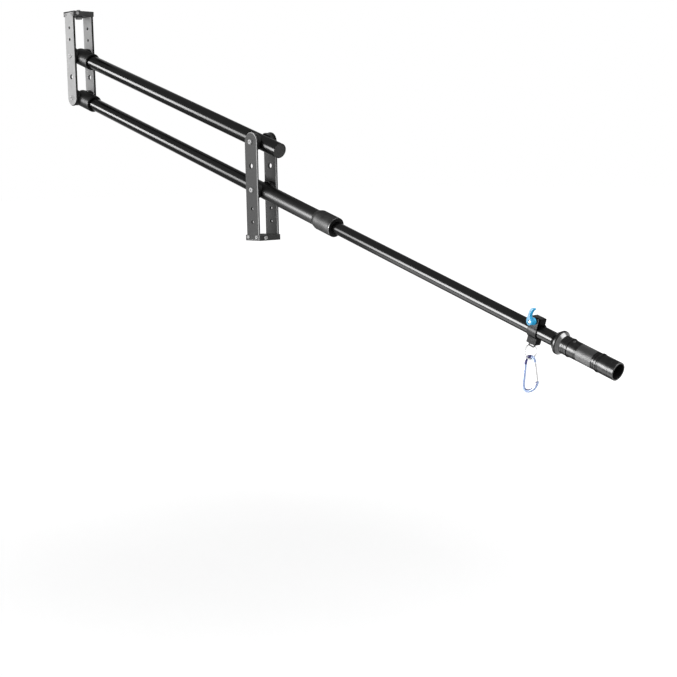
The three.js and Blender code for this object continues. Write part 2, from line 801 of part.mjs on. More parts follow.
// Thumb lever on its hub, turning the clamp screw
const lever = frame(clamp, new THREE.Vector3(0, earNear - fitGap, clampScrewHeight));
const leverOutline = new THREE.Shape();
leverOutline.setFromPoints(new THREE.SplineCurve(
  leverShares.map(([x, y]) => new THREE.Vector2(x * leverReach, y * leverReach)),
).getPoints(leverShares.length * 2));
const leverArm = new THREE.ExtrudeGeometry(leverOutline, { depth: leverWidth, bevelEnabled: false })
  .rotateX(Math.PI / 2).translate(0, leverWidth - hubLength, 0);
const hub = turnedAcross([
  [0, 0], [0, hubFoot], [-hubFootHeight / 2, hubFoot], [-hubFootHeight, hubRadius],
  [-hubLength + clampEdge / 2, hubRadius], [-hubLength, hubRadius - clampEdge / 2], [-hubLength, 0],
], smallSides);
piece('clamp_lever', cut(
  join(hub, leverArm),
  barAcross(-hubLength - overrun, overrun, clampScrewRadius + fitGap),
), 'blueAnodised', lever);
const screwEnd = topBlockFar - earNear + fitGap + clampScrewTail;
const screwStart = -hubLength + clampEdge;
piece('clamp_screw', barAcross(screwStart, screwEnd, clampScrewRadius, screwSides), 'steel', lever);

// Split ring and carabiner, hanging plumb from the eye
const ringPin = new THREE.Vector3(ringShift, 0, eyeBottom + eyeWire + ringBreadth + linkGap);
const hanging = frame(clamp, ringPin, -restTilt);
const ringFrame = frame(hanging);
ringFrame.rotation.z = ringTurn;
const ringBody = new THREE.TorusGeometry(ringRadius, ringWire, hexSides, roundSides)
  .scale(1, 1, ringBreadth / ringWire).rotateY(Math.PI / 2).translate(0, 0, -ringRadius);
piece('split_ring', ringBody, 'steel', ringFrame);

const rodTop = -2 * ringRadius + ringBreadth + carabinerRod + linkGap;
const carabinerTurned = frame(hanging, new THREE.Vector3(0, 0, rodTop));
carabinerTurned.rotation.z = carabinerTurn;
const carabiner = frame(carabinerTurned);
carabiner.rotation.x = carabinerLean;
const outlinePoints = carabinerShares.map(([u, v]) => (
  new THREE.Vector3(0, u * carabinerWidth, v * carabinerHeight)
));
const hinge = outlinePoints[0];
const nose = outlinePoints.at(-1);
const gateRun = nose.clone().sub(hinge);
const gateTilt = Math.atan2(gateRun.y, -gateRun.z);
const gateLength = gateRun.length();
gateRun.normalize();

// The rod's two ends lie in line with the gate
const loop = new THREE.CatmullRomCurve3([
  hinge,
  hinge.clone().addScaledVector(gateRun, -carabinerRod / 2),
  ...outlinePoints.slice(1, -1),
  nose.clone().addScaledVector(gateRun, carabinerRod / 2),
  nose,
]);

// Shapes along the gate, with the hinge at zero and the nose straight below it
const alongGate = (geometry) => geometry.rotateX(gateTilt).translate(hinge.x, hinge.y, hinge.z);
const slab = (half, top, bottom, wide) => box([-half, -wide, bottom], [half, wide, top]);
const acrossGate = (radius, half, sides = smallSides) => barAlong(-half, half, radius, sides)
  .translate(0, 0, -gatePinPlace);
const pinHole = () => acrossGate(gatePinRadius + gatePinGap, overrun, screwSides);
const tongueHalf = tongueThickness / 2;
const tongue = join(
  slab(tongueHalf, carabinerRod, -gatePinPlace, tongueRound),
  acrossGate(tongueRound, tongueHalf),
);
piece('carabiner_body', cut(
  join(bentRod(loop, carabinerRod, carabinerSteps, screwSides), alongGate(tongue)),
  alongGate(pinHole()),
), 'violetAnodised', carabiner);

const slotHalf = tongueHalf + fitGap;
piece('carabiner_gate', alongGate(cut(
  join(
    barUp(-gateLength + gateGap, -gatePinPlace, gateRod),
    common(barUp(-gatePinPlace - gateRod, 0, gateRod), acrossGate(gatePinPlace - gateGap, gateRod)),
  ),
  slab(slotHalf, overrun, -gatePinPlace, gateRod + overrun),
  acrossGate(tongueRound + fitGap, slotHalf),
  slab(slotHalf, -gatePinPlace, -gatePinPlace - tongueRound, gateRod + overrun),
  pinHole(),
)), 'steel', carabiner);
piece('carabiner_pin', alongGate(
  barAlong(-gateRod, gateRod, gatePinRadius, screwSides).translate(0, 0, -gatePinPlace),
), 'steel', carabiner);

// Camera bracket
const frontTop = frontLow.clone().setZ(frontLow.z + pivotSpacing + squareEnd + blockLedge);
const front = frame(crane, frontTop);
bracket('camera', front, -1, cameraShank, cameraLockOffset, 'frontAluminium');
const frontHigh = new THREE.Vector3(0, 0, -blockLedge - squareEnd);
throughBolt('camera_upper', front, frontHigh);
throughBolt('camera_lower', front, frontHigh.clone().setZ(frontHigh.z - pivotSpacing));

// Camera screw under the platform, with its washer
const washerTop = -blockThickness;
const headTop = washerTop - cameraWasherHeight;
piece('camera_screw_washer', cut(
  barUp(headTop, washerTop, cameraWasher),
  barUp(headTop - overrun, washerTop + overrun, cameraShank + fitGap),
), 'blackPlastic', front);
const flutes = Array.from({ length: cameraHeadFlutes }, (_, k) => {
  const turn = (k / cameraHeadFlutes) * Math.PI * 2;
  const flute = barUp(headTop - cameraHeadHeight - overrun, headTop - fluteRim, fluteRadius, hexSides);
  return flute.translate(cameraHead * Math.cos(turn), cameraHead * Math.sin(turn), 0);
});
piece('camera_screw', cut(join(
  barUp(headTop - cameraHeadHeight, headTop - fitGap, cameraHead, roundSides),
  barUp(headTop - cameraHeadHeight / 2, cameraStand, cameraShank),
), ...flutes), 'steel', front);

export default crane;
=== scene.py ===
# %% [markdown]
# # A camera jib crane
# This lesson dresses a ready-made model of a small camera crane: two black arms pinned between two
# brackets, an extension with a handle, and a clamp that carries a hook for weights. The frame gives
# the solids and how they move. Each is replaced by a rounder, finer piece that rides on its body.
# %% Load the frame
from math import atan2, cos, pi, radians, sin, tau

import bmesh
import bpy
from mathutils import Matrix, Vector


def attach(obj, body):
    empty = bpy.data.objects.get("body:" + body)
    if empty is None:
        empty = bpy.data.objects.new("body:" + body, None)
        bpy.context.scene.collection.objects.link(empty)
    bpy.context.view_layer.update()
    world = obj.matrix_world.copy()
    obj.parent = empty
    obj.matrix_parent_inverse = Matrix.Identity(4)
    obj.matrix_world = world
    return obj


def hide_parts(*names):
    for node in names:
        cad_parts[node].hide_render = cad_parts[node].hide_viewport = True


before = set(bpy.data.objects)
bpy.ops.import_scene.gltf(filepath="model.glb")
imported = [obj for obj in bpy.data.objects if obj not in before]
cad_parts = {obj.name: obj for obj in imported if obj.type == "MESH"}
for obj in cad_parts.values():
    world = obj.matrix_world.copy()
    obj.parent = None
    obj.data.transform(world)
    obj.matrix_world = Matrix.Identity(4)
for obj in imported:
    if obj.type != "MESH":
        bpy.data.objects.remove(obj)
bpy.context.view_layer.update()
print("solids:", len(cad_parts))

# %% [markdown]
# ## Places on the crane
# Drawings of small machines are in millimetres, so every piece is modelled in millimetres, lying
# along its own axes, and is shrunk a thousandfold when it is seated. The arms hang 18 degrees down
# towards the handle. A matrix for each place takes a piece there, and matrices multiply from the
# outside in, as a hand moves from the arm to the clamp to the lever. `FIT` is the gap between pieces
# that meet. `OVERRUN` and the smaller `PROUD` say how far a cutter reaches past what it cuts.
# %% Shared sizes and places
SHRINK = Matrix.Scale(0.001, 4)
PIVOT_SPACING = 100
ARM_REACH = 718
ARM_TILT = radians(18.08)
BRACKET_GAP = 47
PLATE_WIDTH = 39.5
PLATE_THICKNESS = 4.6
SQUARE_END = 104.5
LEDGE = 1.5
PIVOT_HOLE = 3.3
FIT = 0.3
OVERRUN = 5
PROUD = 1
INSIDE = BRACKET_GAP / 2
OUTSIDE = INSIDE + PLATE_THICKNESS
LOW_PIVOT = LEDGE + SQUARE_END


def shift(x=0, y=0, z=0):
    return Matrix.Translation((x, y, z))


def turn(angle, axis):
    return Matrix.Rotation(angle, 4, axis)


BASE = Matrix.Identity(4)
LOWER = shift(z=LOW_PIVOT) @ turn(ARM_TILT, "Y")
UPPER = shift(z=LOW_PIVOT + PIVOT_SPACING) @ turn(ARM_TILT, "Y")
FRONT_PIVOT = LOWER @ Vector((-ARM_REACH, 0, 0))
FRONT = shift(FRONT_PIVOT.x, 0, FRONT_PIVOT.z + PIVOT_SPACING + LOW_PIVOT)
UPEND = turn(-pi / 2, "Y")
ACROSS = turn(pi / 2, "Z")
print("the camera platform stands", round(FRONT.translation.z), "mm above the base")

# %% [markdown]
# ## Camera
# The picture was taken from the handle's end, 47 degrees round from the arms' near side and a little
# above them, with a moderately long lens. The camera is built from those angles: `back` points from
# the crane to the lens, and a small roll about that line tilts the picture as in the original.
# %% Camera
VIEW_AZIMUTH = radians(47.392)
VIEW_HEIGHT = radians(7.445)
VIEW_ROLL = radians(-1.108)
CAMERA_PLACE = Vector((2.2217, -1.8323, 0.1622))
LENS = 72.09

back = Vector((
    sin(VIEW_AZIMUTH) * cos(VIEW_HEIGHT),
    -cos(VIEW_AZIMUTH) * cos(VIEW_HEIGHT),
    sin(VIEW_HEIGHT),
))
level = (-back).cross(Vector((0, 0, 1))).normalized()
upright = level.cross(-back)
right = cos(VIEW_ROLL) * level + sin(VIEW_ROLL) * upright
up = cos(VIEW_ROLL) * upright - sin(VIEW_ROLL) * level


def standing(place, side, rise, back):
    """A place and three axes as one matrix: a camera or lamp there looks away from `back`."""
    return Matrix.Translation(place) @ Matrix((side, rise, back)).transposed().to_4x4()


bpy.ops.object.select_all(action="DESELECT")
bpy.ops.object.camera_add()
camera = bpy.context.object
camera.name = "photo_camera"
camera.data.lens = LENS
camera.data.sensor_fit = "HORIZONTAL"
camera.data.sensor_width = 36
camera.data.clip_end = 50
camera.matrix_world = standing(CAMERA_PLACE, right, up, back)
bpy.context.scene.camera = camera
bpy.context.scene.view_settings.view_transform = "Standard"
print("camera at", [round(value, 2) for value in camera.matrix_world.translation])

# %% [markdown]
# ## Shader maths
# A finish is a small graph of nodes. Wiring it by hand is slow to read, so `Signal` wraps one socket
# and gives it Python's own signs: `mask * 0.5 + 0.2` adds the Math nodes itself. `Finish` makes the
# material and has one method, `node`, for every other kind of node.
# %% Signals and finishes
class Signal:
    """One output socket, with maths signs."""

    def __init__(self, finish, socket):
        self.finish = finish
        self.socket = socket

    def maths(self, operation, other):
        return self.finish.node("ShaderNodeMath", {"operation": operation}, {0: self, 1: other})

    def __add__(self, other):
        return self.maths("ADD", other)

    def __mul__(self, other):
        return self.maths("MULTIPLY", other)

    def or_larger(self, other):
        return self.maths("MAXIMUM", other)

    __radd__ = __add__
    __rmul__ = __mul__


class Finish:
    """A procedural material and the record's slot that it belongs to."""

    def __init__(self, name, slot, **fixed):
        self.slot = slot
        self.material = bpy.data.materials.new(name)
        self.material.use_nodes = True
        self.tree = self.material.node_tree
        self.shader = self.tree.nodes["Principled BSDF"]
        for socket, value in fixed.items():
            self.shader.inputs[socket.replace("_", " ")].default_value = value

    def node(self, kind, settings=None, values=None, output=0):
        made = self.tree.nodes.new(kind)
        for name, setting in (settings or {}).items():
            if name == "stops":
                for element, (place, level) in zip(made.color_ramp.elements, setting):
                    element.position = place
                    element.color = (level, level, level, 1)
            else:
                setattr(made, name, setting)
        for key, value in (values or {}).items():
            self.wire(made.inputs[key], value)
        return Signal(self, made.outputs[output])

    def wire(self, socket, value):
        if isinstance(value, Signal):
            self.tree.links.new(value.socket, socket)
        else:
            socket.default_value = value

    def grid(self, stretch=(1, 1, 1), tilt=0):
        place = self.node("ShaderNodeTexCoord", output="Object")
        return self.node("ShaderNodeMapping", {"vector_type": "TEXTURE"}, {
            "Vector": place,
            "Rotation": (0, tilt, 0),
            "Scale": tuple(1 / value for value in stretch),
        })

    def noise(self, grid, scale, detail=3, roughness=0.5):
        return self.node("ShaderNodeTexNoise", None, {
            "Vector": grid, "Scale": scale, "Detail": detail, "Roughness": roughness,
        })

    def ramp(self, factor, black, white):
        """Spreads a narrow range of a signal, from `black` to `white`, over 0 to 1."""
        return self.node("ShaderNodeValToRGB", {"stops": ((black, 0.0), (white, 1.0))}, {"Fac": factor})

    def blend(self, factor, first, second):
        return self.node("ShaderNodeMix", {"data_type": "RGBA"}, {
            "Factor": factor, 6: first, 7: second,
        }, output=2)

    def bump(self, height, strength, distance):
        return self.node("ShaderNodeBump", None, {
            "Height": height, "Strength": strength, "Distance": distance,
        })

    def drive(self, **links):
        for socket, value in links.items():
            self.wire(self.shader.inputs[socket.replace("_", " ")], value)
        return self


def tone(red, green=None, blue=None):
    """A shader colour from screen values between 0 and 255."""
    screen = (red, red if green is None else green, red if blue is None else blue)
    linear = []
    for value in screen:
        share = value / 255
        linear.append(share / 12.92 if share <= 0.04045 else ((share + 0.055) / 1.055) ** 2.4)
    return (*linear, 1)


print("mid grey is", [round(value, 3) for value in tone(128)[:3]])

# %% [markdown]
# ## Finishes
# The arms are aluminium tube, drawn, polished and black anodised: deep black with sharp reflections
# and faint lines left by the draw along the tube. Those lines are noise stretched along the arm, so
# the grid is turned by the arm's tilt first. Lacquer turns white where it is seen edge-on, but the
# anodised metal stays dark there, so it is a nearly black metal with a grey edge tint.
# %% Black tube
ANODISED = {"Metallic": 0.9, "Specular_IOR_Level": 0.1, "Specular_Tint": (0.5, 0.5, 0.5, 1)}


def drawn_tube(name, dark, rough, bump_strength):
    finish = Finish(name, "black_tube", **ANODISED)
    along = finish.grid(stretch=(6, 420, 420), tilt=ARM_TILT)
    lines = finish.noise(along, 1, detail=4, roughness=0.6)
    haze = finish.noise(finish.grid(stretch=(14, 60, 60), tilt=ARM_TILT), 1, detail=3)
    return finish.drive(
        Base_Color=finish.blend(haze, tone(dark), tone(dark + 8)),
        Roughness=lines * 0.02 + haze * 0.04 + (rough - 0.03),
        Normal=finish.bump(lines, bump_strength, 0.00001),
    )


black_tube = drawn_tube("black tube", 30, 0.2, 0.02)
sleeve_tube = drawn_tube("sleeve tube", 32, 0.36, 0.04)
print("made", black_tube.material.name, "and", sleeve_tube.material.name)

# %% [markdown]
# The caps, the collar and the clamp are turned or cast, blasted and then anodised, which leaves a
# fine even grain that spreads the light into a soft patch. A second, slower noise keeps the grain
# from looking like one flat colour.
# %% Blasted and moulded finishes
def grained(name, slot, dark, light, rough, grain=1500, strength=0.4, **fixed):
    finish = Finish(name, slot, **fixed)
    fine = finish.noise(finish.grid(), grain, detail=3, roughness=0.6)
    slow = finish.noise(finish.grid(), grain / 18, detail=3)
    colour = finish.blend(finish.ramp(fine * 0.6 + slow * 0.4, 0.35, 0.65), dark, light)
    return finish.drive(
        Base_Color=colour,
        Roughness=slow * 0.08 + (rough - 0.04),
        Normal=finish.bump(fine, strength, 0.00004),
    )


cap_black = grained("cap black", "satin_black", tone(28), tone(40), 0.4, strength=0.25, **ANODISED)
collar_black = grained(
    "collar black", "satin_black", tone(26), tone(48), 0.52, grain=1100, strength=0.6, **ANODISED,
)
clamp_black = grained("clamp black", "satin_black", tone(18), tone(30), 0.36, strength=0.25, **ANODISED)
plastic_black = grained("black plastic", "black_plastic", tone(9), tone(16), 0.55, Specular_IOR_Level=0.12)
block_grey = grained("block grey", "block_grey", tone(46), tone(62), 0.5, Specular_IOR_Level=0.08)
print("grained finishes made")

# %% [markdown]
# The bracket plates are flat aluminium bar. Their faces are brushed lengthwise and anodised mid grey,
# while the sawn edges are black. The camera bracket's faces are painted light silver, a painted
# reflection of the softbox that those plates mirror. The base plates' chamfers carry a painted
# highlight, the light line where they catch the light. Those of the camera plates are as black as
# their edges.
# %% Plate finishes
def brushed(name, slot, dark, light, rough, level):
    finish = Finish(name, slot, Specular_IOR_Level=level)
    strokes = finish.noise(finish.grid(stretch=(1100, 1100, 26)), 1, detail=4, roughness=0.65)
    cloud = finish.noise(finish.grid(stretch=(55, 55, 30)), 1, detail=3)
    specks = finish.ramp(finish.noise(finish.grid(), 620, detail=2), 0.62, 0.72)
    tint = finish.ramp(strokes * 0.45 + cloud * 0.55, 0.3, 0.7)
    colour = finish.blend(tint, dark, light)
    worn = finish.blend(specks * 0.35, colour, dark)
    return finish.drive(
        Base_Color=worn,
        Roughness=strokes * 0.14 + cloud * 0.08 + (rough - 0.1),
        Normal=finish.bump(strokes, 0.3, 0.00003),
    )


grey_face = brushed("bracket grey face", "bracket_grey", tone(50), tone(66), 0.5, 0.04)
# Painted highlight: the base chamfers' light colour stands in for the light that they catch.
chamfer_painted_highlight = brushed("bracket chamfer painted highlight", "bracket_grey", tone(150), tone(184), 0.4, 0.2)
grey_edge = brushed("bracket grey edge", "bracket_grey", tone(6), tone(12), 0.5, 0.08)
# Painted reflection: this light face colour stands in for the softbox that the camera plates mirror.
reflection_painted_face = brushed("bracket face with painted reflection", "bracket_silver", tone(190), tone(210), 0.5, 0.04)
silver_edge = brushed("bracket silver edge", "bracket_silver", tone(5), tone(9), 0.5, 0.05)
print("five plate finishes made")

# %% [markdown]
# Turned metal carries faint rings from the tool, which follow the distance along the piece and not
# the direction round it. The handle, the steel fasteners, the black wire and the coloured anodised
# pieces share this recipe with their own colours. The screws face the light, so most of them are a
# plain pale grey with little gloss, where a full metal would turn white.
# %% Turned metal finishes
def turned_metal(name, slot, dark, light, rough, strength=0.15, **fixed):
    finish = Finish(name, slot, **fixed)
    rings = finish.noise(finish.grid(stretch=(900, 8, 8), tilt=ARM_TILT), 1, detail=3, roughness=0.6)
    smear = finish.noise(finish.grid(), 160, detail=3)
    colour = finish.blend(finish.ramp(rings * 0.5 + smear * 0.5, 0.3, 0.7), dark, light)
    return finish.drive(
        Base_Color=colour,
        Roughness=smear * 0.06 + rings * 0.06 + (rough - 0.06),
        Normal=finish.bump(rings, strength, 0.00003),
    )


handle_black = turned_metal("handle black", "handle_black", tone(30), tone(42), 0.3, 0.04, **ANODISED)
handle_bright = turned_metal("handle bright", "handle_black", tone(84), tone(112), 0.22, Metallic=1.0)
knurl_grey = turned_metal("knurl grey", "handle_black", tone(16), tone(30), 0.45, Specular_IOR_Level=0.28)
bright_steel = turned_metal("bright steel", "steel", tone(160), tone(196), 0.45, Specular_IOR_Level=0.16)
pale_steel = turned_metal("pale steel", "steel", tone(196), tone(222), 0.3, Metallic=0.6)
worn_steel = turned_metal("worn steel", "steel", tone(140), tone(176), 0.5, Specular_IOR_Level=0.14)
dark_steel = turned_metal("dark steel", "steel", tone(90), tone(120), 0.32, Metallic=1.0)
black_wire = turned_metal("black wire", "steel", tone(16), tone(30), 0.45, Specular_IOR_Level=0.15)
blue_anodised = turned_metal(
    "blue anodised", "blue_anodised", tone(24, 148, 206), tone(66, 184, 230), 0.38, Specular_IOR_Level=0.14,
)
violet_anodised = turned_metal(
    "violet anodised", "violet_anodised", tone(152, 172, 212), tone(176, 194, 228), 0.34, Metallic=0.15,
)
# Navy is a painted dark reflection on the carabiner's violet metal.
navy_painted_reflection = turned_metal("navy painted reflection", "violet_anodised", tone(24, 22, 84), tone(48, 46, 120), 0.3)
print("turned metals made")

# %% [markdown]
# ## Tools for shaping
# An operator acts on all that is selected. So each step first deselects everything, then selects one
# object, or the points, edges or faces of its mesh whose place passes a test.
# %% Selecting
MERGE = 0.0005


def clear_selection():
    bpy.ops.object.select_all(action="DESELECT")


def select_only(piece):
    clear_selection()
    piece.select_set(True)
    bpy.context.view_layer.objects.active = piece


def named(name):
    """The newest object, with its name on its mesh too."""
    piece = bpy.context.object
    piece.name = piece.data.name = name
    return piece


def edit(piece, mode="VERT"):
    select_only(piece)
    bpy.ops.object.mode_set(mode="EDIT")
    bpy.ops.mesh.select_mode(type=mode)


def leave():
    bpy.ops.object.mode_set(mode="OBJECT")


def pick(piece, kind, test):
    """Selects the points, edges or faces whose middle passes the test."""
    bpy.ops.mesh.select_all(action="DESELECT")
    mesh = bmesh.from_edit_mesh(piece.data)
    for part in getattr(mesh, kind):
        if kind == "verts":
            chosen = test(part.co)
        elif kind == "edges":
            first, second = (corner.co for corner in part.verts)
            chosen = test((first + second) / 2, second - first)
        else:
            chosen = test(part.calc_center_median(), part.normal)
        if chosen:
            part.select_set(True)
    mesh.select_flush_mode()
    bmesh.update_edit_mesh(piece.data)


def select_mesh():
    bpy.ops.mesh.select_all(action="SELECT")


def weld(distance=MERGE):
    """Merges the points of the whole mesh that lie closer than a distance."""
    select_mesh()
    bpy.ops.mesh.remove_doubles(threshold=distance)


print("points closer than", MERGE, "mm are merged")

# %% [markdown]
# A turned piece starts as one point. It is extruded along half of the section, its corners are
# rounded with a vertex bevel, and the line is spun round the X axis, as on a lathe. Spinning can
# turn a skin inside out, so its normals are recalculated after its seam is merged.
# %% Turning
TURN_STEPS = 72
FINE_STEPS = 96


def new_line(name, points):
    """A line of points, extruded one after the other from a plane merged to a point."""
    clear_selection()
    bpy.ops.mesh.primitive_plane_add(size=1)
    piece = named(name)
    bpy.ops.object.mode_set(mode="EDIT")
    bpy.ops.mesh.select_mode(type="VERT")
    bpy.ops.mesh.merge(type="CENTER")
    bpy.ops.transform.translate(value=points[0])
    for here, there in zip(points, points[1:]):
        step = Vector(there) - Vector(here)
        bpy.ops.mesh.extrude_region_move(TRANSFORM_OT_translate={"value": step})
    weld(MERGE / 5)
    return piece


def round_corners(piece, corners):
    for place, size in corners:
        pick(piece, "verts", lambda point: (point - place).length < 0.001)
        bpy.ops.mesh.bevel(offset=size, offset_type="OFFSET", segments=4, affect="VERTICES")


def outward():
    weld()
    bpy.ops.mesh.normals_make_consistent(inside=False)


def turned(name, profile, steps=TURN_STEPS):
    """Spins [place along X, radius, corner round] about X."""
    places = [Vector((row[0], 0, row[1])) for row in profile]
    piece = new_line(name, places)
    rounds = [(place, row[2]) for place, row in zip(places, profile) if len(row) > 2]
    round_corners(piece, rounds)
    select_mesh()
    bpy.ops.mesh.spin(steps=steps, angle=tau, center=(0, 0, 0), axis=(1, 0, 0))
    outward()
    leave()
    return piece


def bar(name, start, end, radius, steps=32):
    return turned(name, [[start, 0], [start, radius], [end, radius], [end, 0]], steps)


def pipe(name, start, end, outer, inner, edge=0.4):
    return turned(name, [
        [start, inner], [start, outer, edge], [end, outer, edge], [end, inner], [start, inner],
    ])


print("one turning uses", TURN_STEPS, "steps, and a fine one", FINE_STEPS)

# %% [markdown]
# Flat pieces start as a cube or as an outline that is filled and extruded. Holes and pockets are cut
# by a Boolean modifier with a second piece as the cutter, and sharp edges are taken off by a Bevel
# modifier, both applied at once, so that each finished mesh is one closed skin.
# %% Cutting and bevelling
def settle(piece, place=None):
    """Moves the piece and writes its place into its mesh."""
    if place is not None:
        piece.matrix_world = place
    select_only(piece)
    bpy.ops.object.transform_apply(location=True, rotation=True, scale=True)
    return piece


def box(name, low, high):
    clear_selection()
    middle = [(first + second) / 2 for first, second in zip(low, high)]
    size = [second - first for first, second in zip(low, high)]
    bpy.ops.mesh.primitive_cube_add(size=1, location=middle, scale=size)
    return settle(named(name))


def apply_modifier(piece, modifier):
    select_only(piece)
    bpy.ops.object.modifier_apply(modifier=modifier.name)


def combine(piece, others, operation):
    for other in others:
        modifier = piece.modifiers.new("combine", "BOOLEAN")
        modifier.operation = operation
        modifier.solver = "EXACT"
        modifier.object = other
        apply_modifier(piece, modifier)
        bpy.data.meshes.remove(other.data)
    return piece


def cut(piece, *tools):
    return combine(piece, tools, "DIFFERENCE")


def join(piece, *others):
    return combine(piece, others, "UNION")


def soften(piece, width, segments, angle):
    """Bevels every edge that turns by more than an angle."""
    modifier = piece.modifiers.new("soften", "BEVEL")
    modifier.width = width
    modifier.segments = segments
    modifier.limit_method = "ANGLE"
    modifier.angle_limit = radians(angle)
    modifier.use_clamp_overlap = True
    apply_modifier(piece, modifier)
    return piece


print("cutting tools reach", OVERRUN, "mm past what they cut")

# %% [markdown]
# Some pieces have more than one finish, so each face gets its own by a test of its middle.
# %% Copying, painting and seating
SMOOTH_ANGLE = radians(34)
made = []


def duplicate(piece, name):
    select_only(piece)
    bpy.ops.object.duplicate()
    return named(name)


def paint(piece, finishes, choose):
    """Gives each face the finish whose number `choose` returns for its middle and normal."""
    for finish in finishes:
        piece.data.materials.append(finish.material)
    for face in piece.data.polygons:
        face.material_index = choose(face.center, face.normal)


def fit(piece, place, body, finish, *nodes):
    """Seats a finished piece: its place goes into its mesh, and it rides on its body."""
    settle(piece, SHRINK @ place)
    if not piece.data.materials:
        piece.data.materials.append(finish.material)
    bpy.ops.object.shade_smooth_by_angle(angle=SMOOTH_ANGLE)
    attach(piece, body)
    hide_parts(*nodes)
    made.append(piece)
    return piece


print("shaping tools ready")

# %% [markdown]
# ## Screws
# Every screw has a hexagon socket, as metric screws do: a turned head and shank, with a six-sided
# cutter for the socket. Where the end of a thread shows, it is a real helix made with the Screw
# modifier, because rings alone would not wind.
# %% Screw maker
SCREW_STEPS = 48
SOCKET_SHARE = 0.5
SOCKET_DEPTH_SHARE = 0.55
SOCKET_CHAMFER = 0.25


def hexagon(name, start, end, across):
    """A six-sided bar along X, measured across its flats."""
    clear_selection()
    bpy.ops.mesh.primitive_cylinder_add(
        vertices=6, radius=across / 2 / cos(pi / 6), depth=end - start,
        location=((start + end) / 2, 0, 0), rotation=(0, pi / 2, 0),
    )
    return settle(named(name))


def socket_screw(name, head, height, shank, length, edge=0.5):
    """A screw along +X from its seat at zero, with its head on the -X side."""
    piece = turned(name, [
        [-height, 0], [-height, head, edge], [0, head, 0.15],
        [0, shank], [length, shank, 0.3], [length, 0],
    ], steps=SCREW_STEPS)
    depth = height * SOCKET_DEPTH_SHARE
    across = head * SOCKET_SHARE * 2 * cos(pi / 6)
    tool = hexagon("socket_tool", -height - PROUD, -height + depth, across)
    mouth = head * SOCKET_SHARE + SOCKET_CHAMFER
    sink = turned("sink_tool", [
        [-height - PROUD, 0], [-height - PROUD, mouth + PROUD], [-height + mouth, 0],
    ], steps=32)
    return cut(piece, tool, sink)


THREAD_DEPTH_SHARE = 0.55
CREST_SHARES = (0.45, 0.55)


def thread(name, start, end, radius, pitch):
    """A closed bar along X with a helical thread."""
    root = radius - pitch * THREAD_DEPTH_SHARE
    begin = start - pitch
    crest = [(begin + pitch * share, 0, radius) for share in CREST_SHARES]
    piece = new_line(name, [(begin, 0, root), *crest, (begin + pitch, 0, root)])
    leave()
    screw = piece.modifiers.new("wind", "SCREW")
    screw.axis = "X"
    screw.angle = tau
    screw.screw_offset = pitch
    screw.iterations = int((end - start) / pitch) + 3
    screw.steps = screw.render_steps = 32
    screw.use_merge_vertices = True
    apply_modifier(piece, screw)
    edit(piece)
    weld()
    for end_x, outer in ((start, -1), (end, 1)):
        select_mesh()
        bpy.ops.mesh.bisect(plane_co=(end_x, 0, 0), plane_no=(outer, 0, 0), use_fill=True, clear_outer=True)
    outward()
    leave()
    return piece


print("a socket is", SOCKET_SHARE, "of its head across")

# %% [markdown]
# ## Bracket plates
# All four plates are one shape: flat bar, rounded over the upper pivot and square at the block. The
# bar is a cube whose two top edges are bevelled by half its width, which makes the half circle. The
# holes come from cutters that flare at both faces, so each hole has its own small chamfer.
# %% Plate shape
WIDE_CHAMFER = 1.5
SMALL_CHAMFER = 0.5
PLATE_CORNER = 1.5
HOLE_CHAMFER = 0.8
CORNER_SCREW_X = 13.5
CORNER_SCREW_EDGE = 6
SCREW_ROW = CORNER_SCREW_EDGE - SQUARE_END
SCREW_HOLE = 2.3
CENTRE_HOLE = 5
SPARE_HOLE = 2.75
SPARE_PLACES = (-39.2, -66.8)
PLATE_HOLES = [
    (0, 0, PIVOT_HOLE), (0, PIVOT_SPACING, PIVOT_HOLE), (0, PIVOT_SPACING / 2, CENTRE_HOLE),
    *((0, z, SPARE_HOLE) for z in SPARE_PLACES),
    *((x, SCREW_ROW, SCREW_HOLE) for x in (-CORNER_SCREW_X, CORNER_SCREW_X)),
]


def bracket_plate(name):
    half = PLATE_WIDTH / 2
    top = PIVOT_SPACING + half
    piece = box(name, (-half, -PLATE_THICKNESS, -SQUARE_END), (half, 0, top))
    edit(piece, "EDGE")
    pick(piece, "edges", lambda middle, run: middle.z > top - 0.01 and abs(run.y) > 1)
    bpy.ops.mesh.bevel(offset=half - 0.002, segments=40)
    pick(piece, "edges", lambda middle, run: middle.z < 0.01 - SQUARE_END and abs(run.y) > 1)
    bpy.ops.mesh.bevel(offset=PLATE_CORNER, segments=5)
    weld(0.02)
    for face, size in ((-PLATE_THICKNESS, WIDE_CHAMFER), (0, SMALL_CHAMFER)):
        pick(piece, "edges", lambda middle, run: abs(middle.y - face) < 0.01)
        bpy.ops.mesh.bevel(offset=size, segments=1)
    leave()
    for x, z, radius in PLATE_HOLES:
        wide = radius + HOLE_CHAMFER + PROUD
        under = -PLATE_THICKNESS - PROUD
        drill = turned("drill", [
            [under, 0], [under, wide], [HOLE_CHAMFER - PLATE_THICKNESS, radius],
            [-HOLE_CHAMFER, radius], [PROUD, wide], [PROUD, 0],
        ], steps=48)
        cut(piece, settle(drill, shift(x, 0, z) @ ACROSS))
    return piece


plate = bracket_plate("plate_pattern")
print("a plate has", len(PLATE_HOLES), "holes and", len(plate.data.polygons), "faces")

# %% [markdown]
# The pattern is copied four times, and each copy has its own mesh. A test sorts a plate's faces into
# flat sides, chamfers and edges. A chamfer slants, so part of its normal still points across the
# plate. The camera bracket's plates are the base's turned upside down.
# %% One plate, four times
HOLE_RIM = 1.5


